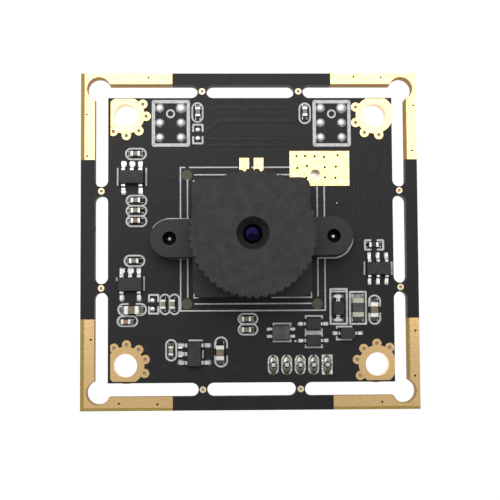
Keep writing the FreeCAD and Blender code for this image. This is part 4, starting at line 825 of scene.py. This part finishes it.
# %% [markdown]
# Round the lens holder the print repeats the holder's outline for two sizes of holder: two nested
# squares, a trace of a third, and the ears. The lines stop short of the round windows, of the gold
# pads and of each other's corners, as the photograph shows. Whole squares with parts cut away would
# need as many numbers, so each line is written as its corners, and the sides they share are named.

# %% Print round the lens holder
OUTER = (-7.87, -7.98, 8.25, 8.08)
INNER = (-7.08, -7.21, 7.45, 7.25)
LEAST = (-6.37, -6.53, 6.71, 6.55)
EAR_TOP, EAR_BOTTOM = 2.25, -2.13
EAR_RADIUS = 2.19
LEFT_EAR, RIGHT_EAR = (-8.85, 0.06), (9.17, 0.06)

HOLDER_LINES = (
    ((-7.38, OUTER[3]), (OUTER[0], OUTER[3]), (OUTER[0], 5.15)), ((OUTER[0], 4.98), (OUTER[0], EAR_TOP)),
    ((-6.85, OUTER[3]), (-1.45, OUTER[3])), ((1.52, OUTER[3]), (4.30, OUTER[3])),
    ((INNER[0], 6.72), (INNER[0], EAR_TOP)), ((-6.28, INNER[3]), (-2.76, INNER[3])),
    ((2.98, INNER[3]), (4.30, INNER[3])), ((INNER[2], 5.85), (INNER[2], 2.30)),
    ((OUTER[2], 5.85), (OUTER[2], 2.30)),
    ((OUTER[0], EAR_BOTTOM), (OUTER[0], OUTER[1]), (OUTER[2], OUTER[1]), (OUTER[2], EAR_BOTTOM)),
    ((INNER[0], EAR_BOTTOM), (INNER[0], -6.45)), ((-6.28, INNER[1]), (6.66, INNER[1])),
    ((INNER[2], -6.38), (INNER[2], EAR_BOTTOM)),
    ((LEAST[0], -6.13), (LEAST[0], LEAST[1]), (-5.95, LEAST[1])),
    ((2.30, LEAST[1]), (LEAST[2], LEAST[1]), (LEAST[2], -6.0)),
)

ink = bmesh.new()
for corners in HOLDER_LINES:
    ribbon(ink, corners, THIN)
ribbon(ink, [(-6.90, EAR_TOP + 0.02)] + arc((-8.94, -0.15), 2.45, 90, 143, 10), LINE)
ribbon(ink, arc(LEFT_EAR, EAR_RADIUS, 236, 270, 8) + [(-6.90, EAR_BOTTOM)], LINE)
ribbon(ink, arc(RIGHT_EAR, EAR_RADIUS, 26, -90, 20) + [(7.45, EAR_BOTTOM)], LINE)
piece("holder_print", ink, print_white)

# %% [markdown]
# The two microphone footprints are framed by a heavier line, each with a small ring round the sound
# hole that was never drilled. Frame and ring are the outline of the component print once more, with
# corners of their own, and one loop draws both footprints.

# %% Print round the microphone footprints
HEAVY = 0.38
FRAME_LONG, FRAME_WIDE, FRAME_CORNER = 4.92, 3.92, 0.08
HOLE_RING, HOLE_LINE = 0.82, 0.2
FOOTPRINTS = (((-8.93, 13.08), (-8.97, 14.17)), ((9.17, 13.06), (9.16, 14.13)))

ink = bmesh.new()
for middle, hole in FOOTPRINTS:
    outline(ink, middle, FRAME_LONG, FRAME_WIDE, HEAVY, corner=FRAME_CORNER, stands=True)
    outline(ink, hole, HOLE_RING, HOLE_RING, HOLE_LINE)
piece("microphone_print", ink, print_white)

# %% [markdown]
# ## Copper under the mask
#
# Traces and covered vias show through the mask as faint relief: the mask flows over the copper and
# sags into each via. A bump in the board's finish could show them too, but it has no rim that
# catches the light from the side. So a via is turned like a low dish, a raised ring with a dimple.
# Its finish is close to the mask's and a shade lighter, because the film is thinner over copper.

# %% Covered vias
covered_copper = moulding("mask_over_copper", (15, 16, 19), (26, 27, 31), 1.2, 0.40, 0.2, 0.003, 0.36)
VIA_PROFILE = ((0.0, 0.002), (0.07, 0.003), (0.13, 0.022), (0.20, 0.024), (0.27, 0.012), (0.32, -0.002))
VIA_SIDES = 20
VIAS = (
    (-7.52, 18.42), (-2.46, 18.30), (2.60, 18.38), (7.20, 18.42), (-3.45, 15.62), (-1.15, 15.62),
    (1.40, 15.62), (3.55, 15.60), (5.40, 15.70), (-9.85, 9.82), (-9.90, 9.32), (-9.02, 8.05),
    (-8.62, 6.80), (-10.35, 4.08), (2.60, 14.05), (13.75, 10.68), (15.45, 9.85), (12.30, 9.15),
    (14.28, 8.20), (14.00, 7.62), (13.05, 6.42), (15.42, 5.22), (12.80, 4.52), (14.30, 3.62),
    (12.30, 2.92), (12.62, 2.24), (18.12, 5.30), (18.10, 0.48), (-17.90, 5.35), (-17.60, 1.20),
    (10.22, 4.06), (-11.65, -12.30), (-9.55, -14.32), (-1.60, -14.42), (-5.75, -17.95), (-1.35, -18.10),
    (8.50, 12.45), (8.60, 11.95), (11.60, -5.40), (-13.95, 11.30),
)


def turned_dish(mesh, x, y, profile):
    """A dish turned from pairs of radius and rise above the board, starting at its middle."""
    rings = []
    for radius, rise in profile:
        sides = 1 if radius == 0 else VIA_SIDES
        ring = []
        for side in range(sides):
            turn = math.tau * side / sides
            place = (x + radius * math.cos(turn), y + radius * math.sin(turn), BOARD_TOP + rise)
            ring.append(mesh.verts.new(Vector(place) * MM))
        rings.append(ring)
    for inner, outer in zip(rings, rings[1:]):
        for side in range(VIA_SIDES):
            after = (side + 1) % VIA_SIDES
            face = [outer[side], outer[after], inner[after % len(inner)]]
            mesh.faces.new(face + ([inner[side]] if len(inner) > 1 else []))


mask = bmesh.new()
for x, y in VIAS:
    turned_dish(mask, x, y, VIA_PROFILE)
piece("covered_vias", mask, covered_copper, smooth=True)

# %% [markdown]
# The small plated holes round the mounting holes and in the bridges aren't covered. Resin that ran
# into them sank as it cured, so a brown dish lies a little below each rim. The same turned dish
# serves, scaled to the hole, and without it each hole would be a black pit.

# %% Filled vias
MOUNTING_HALF = 14.0
LOBE_CIRCLE = 2.3
LOBE_HOLE, BRIDGE_HOLE = 0.2, 0.16
BRIDGE_ALONG, BRIDGE_OUT = 5.425, 16.7
LOBE_ANGLES = (
    (-1, 1, (33, -3, -50, -88, -127)), (1, 1, (157, -158, -120, -78)),
    (-1, -1, (123, 87, 50, 17, -22)), (1, -1, (91, 53, 131, 167, -147)),
)
SINKING = ((0.0, -0.10), (0.6, -0.09), (0.96, -0.05))

via_resin = moulding("via_resin", (160, 138, 112), (186, 164, 136), 0.15, 0.45, 0.05, 0.002)
filling = bmesh.new()
in_lobe = [(share * LOBE_HOLE, rise) for share, rise in SINKING]
for right, top, angles in LOBE_ANGLES:
    for turn in map(math.radians, angles):
        x = right * MOUNTING_HALF + LOBE_CIRCLE * math.cos(turn)
        y = top * MOUNTING_HALF + LOBE_CIRCLE * math.sin(turn)
        turned_dish(filling, x, y, in_lobe)
in_bridge = [(share * BRIDGE_HOLE, rise) for share, rise in SINKING]
for right in (-1, 1):
    for top in (-1, 1):
        turned_dish(filling, right * BRIDGE_ALONG, top * BRIDGE_OUT, in_bridge)
        turned_dish(filling, right * BRIDGE_OUT, top * BRIDGE_ALONG, in_bridge)
piece("via_fillings", filling, via_resin, smooth=True)

# %% [markdown]
# A trace is the same raised mask as a via's rim, drawn out along a line. The ribbon of the printed
# lines makes it too, lower and with long slopes in place of crisp rims.

# %% Covered traces
TRACE_HEIGHT = 0.012
TRACE_RIM = 0.07
TRACES = (
    (((-4.6, 14.78), (4.6, 14.78)), 0.42), (((-5.0, 12.1), (-3.4, 13.35), (5.0, 13.35)), 0.55),
    (((-4.7, 11.25), (4.9, 11.25)), 0.30), (((-4.7, 10.55), (4.0, 10.55)), 0.30),
    (((-4.8, 14.05), (4.9, 14.05)), 0.22), (((11.75, 6.0), (11.75, 2.4)), 0.24),
    (((12.15, 6.2), (12.15, 2.4)), 0.24),
)

mask = bmesh.new()
for path, width in TRACES:
    ribbon(mask, path, width, height=TRACE_HEIGHT, rim=TRACE_RIM)
piece("covered_traces", mask, covered_copper, smooth=True)
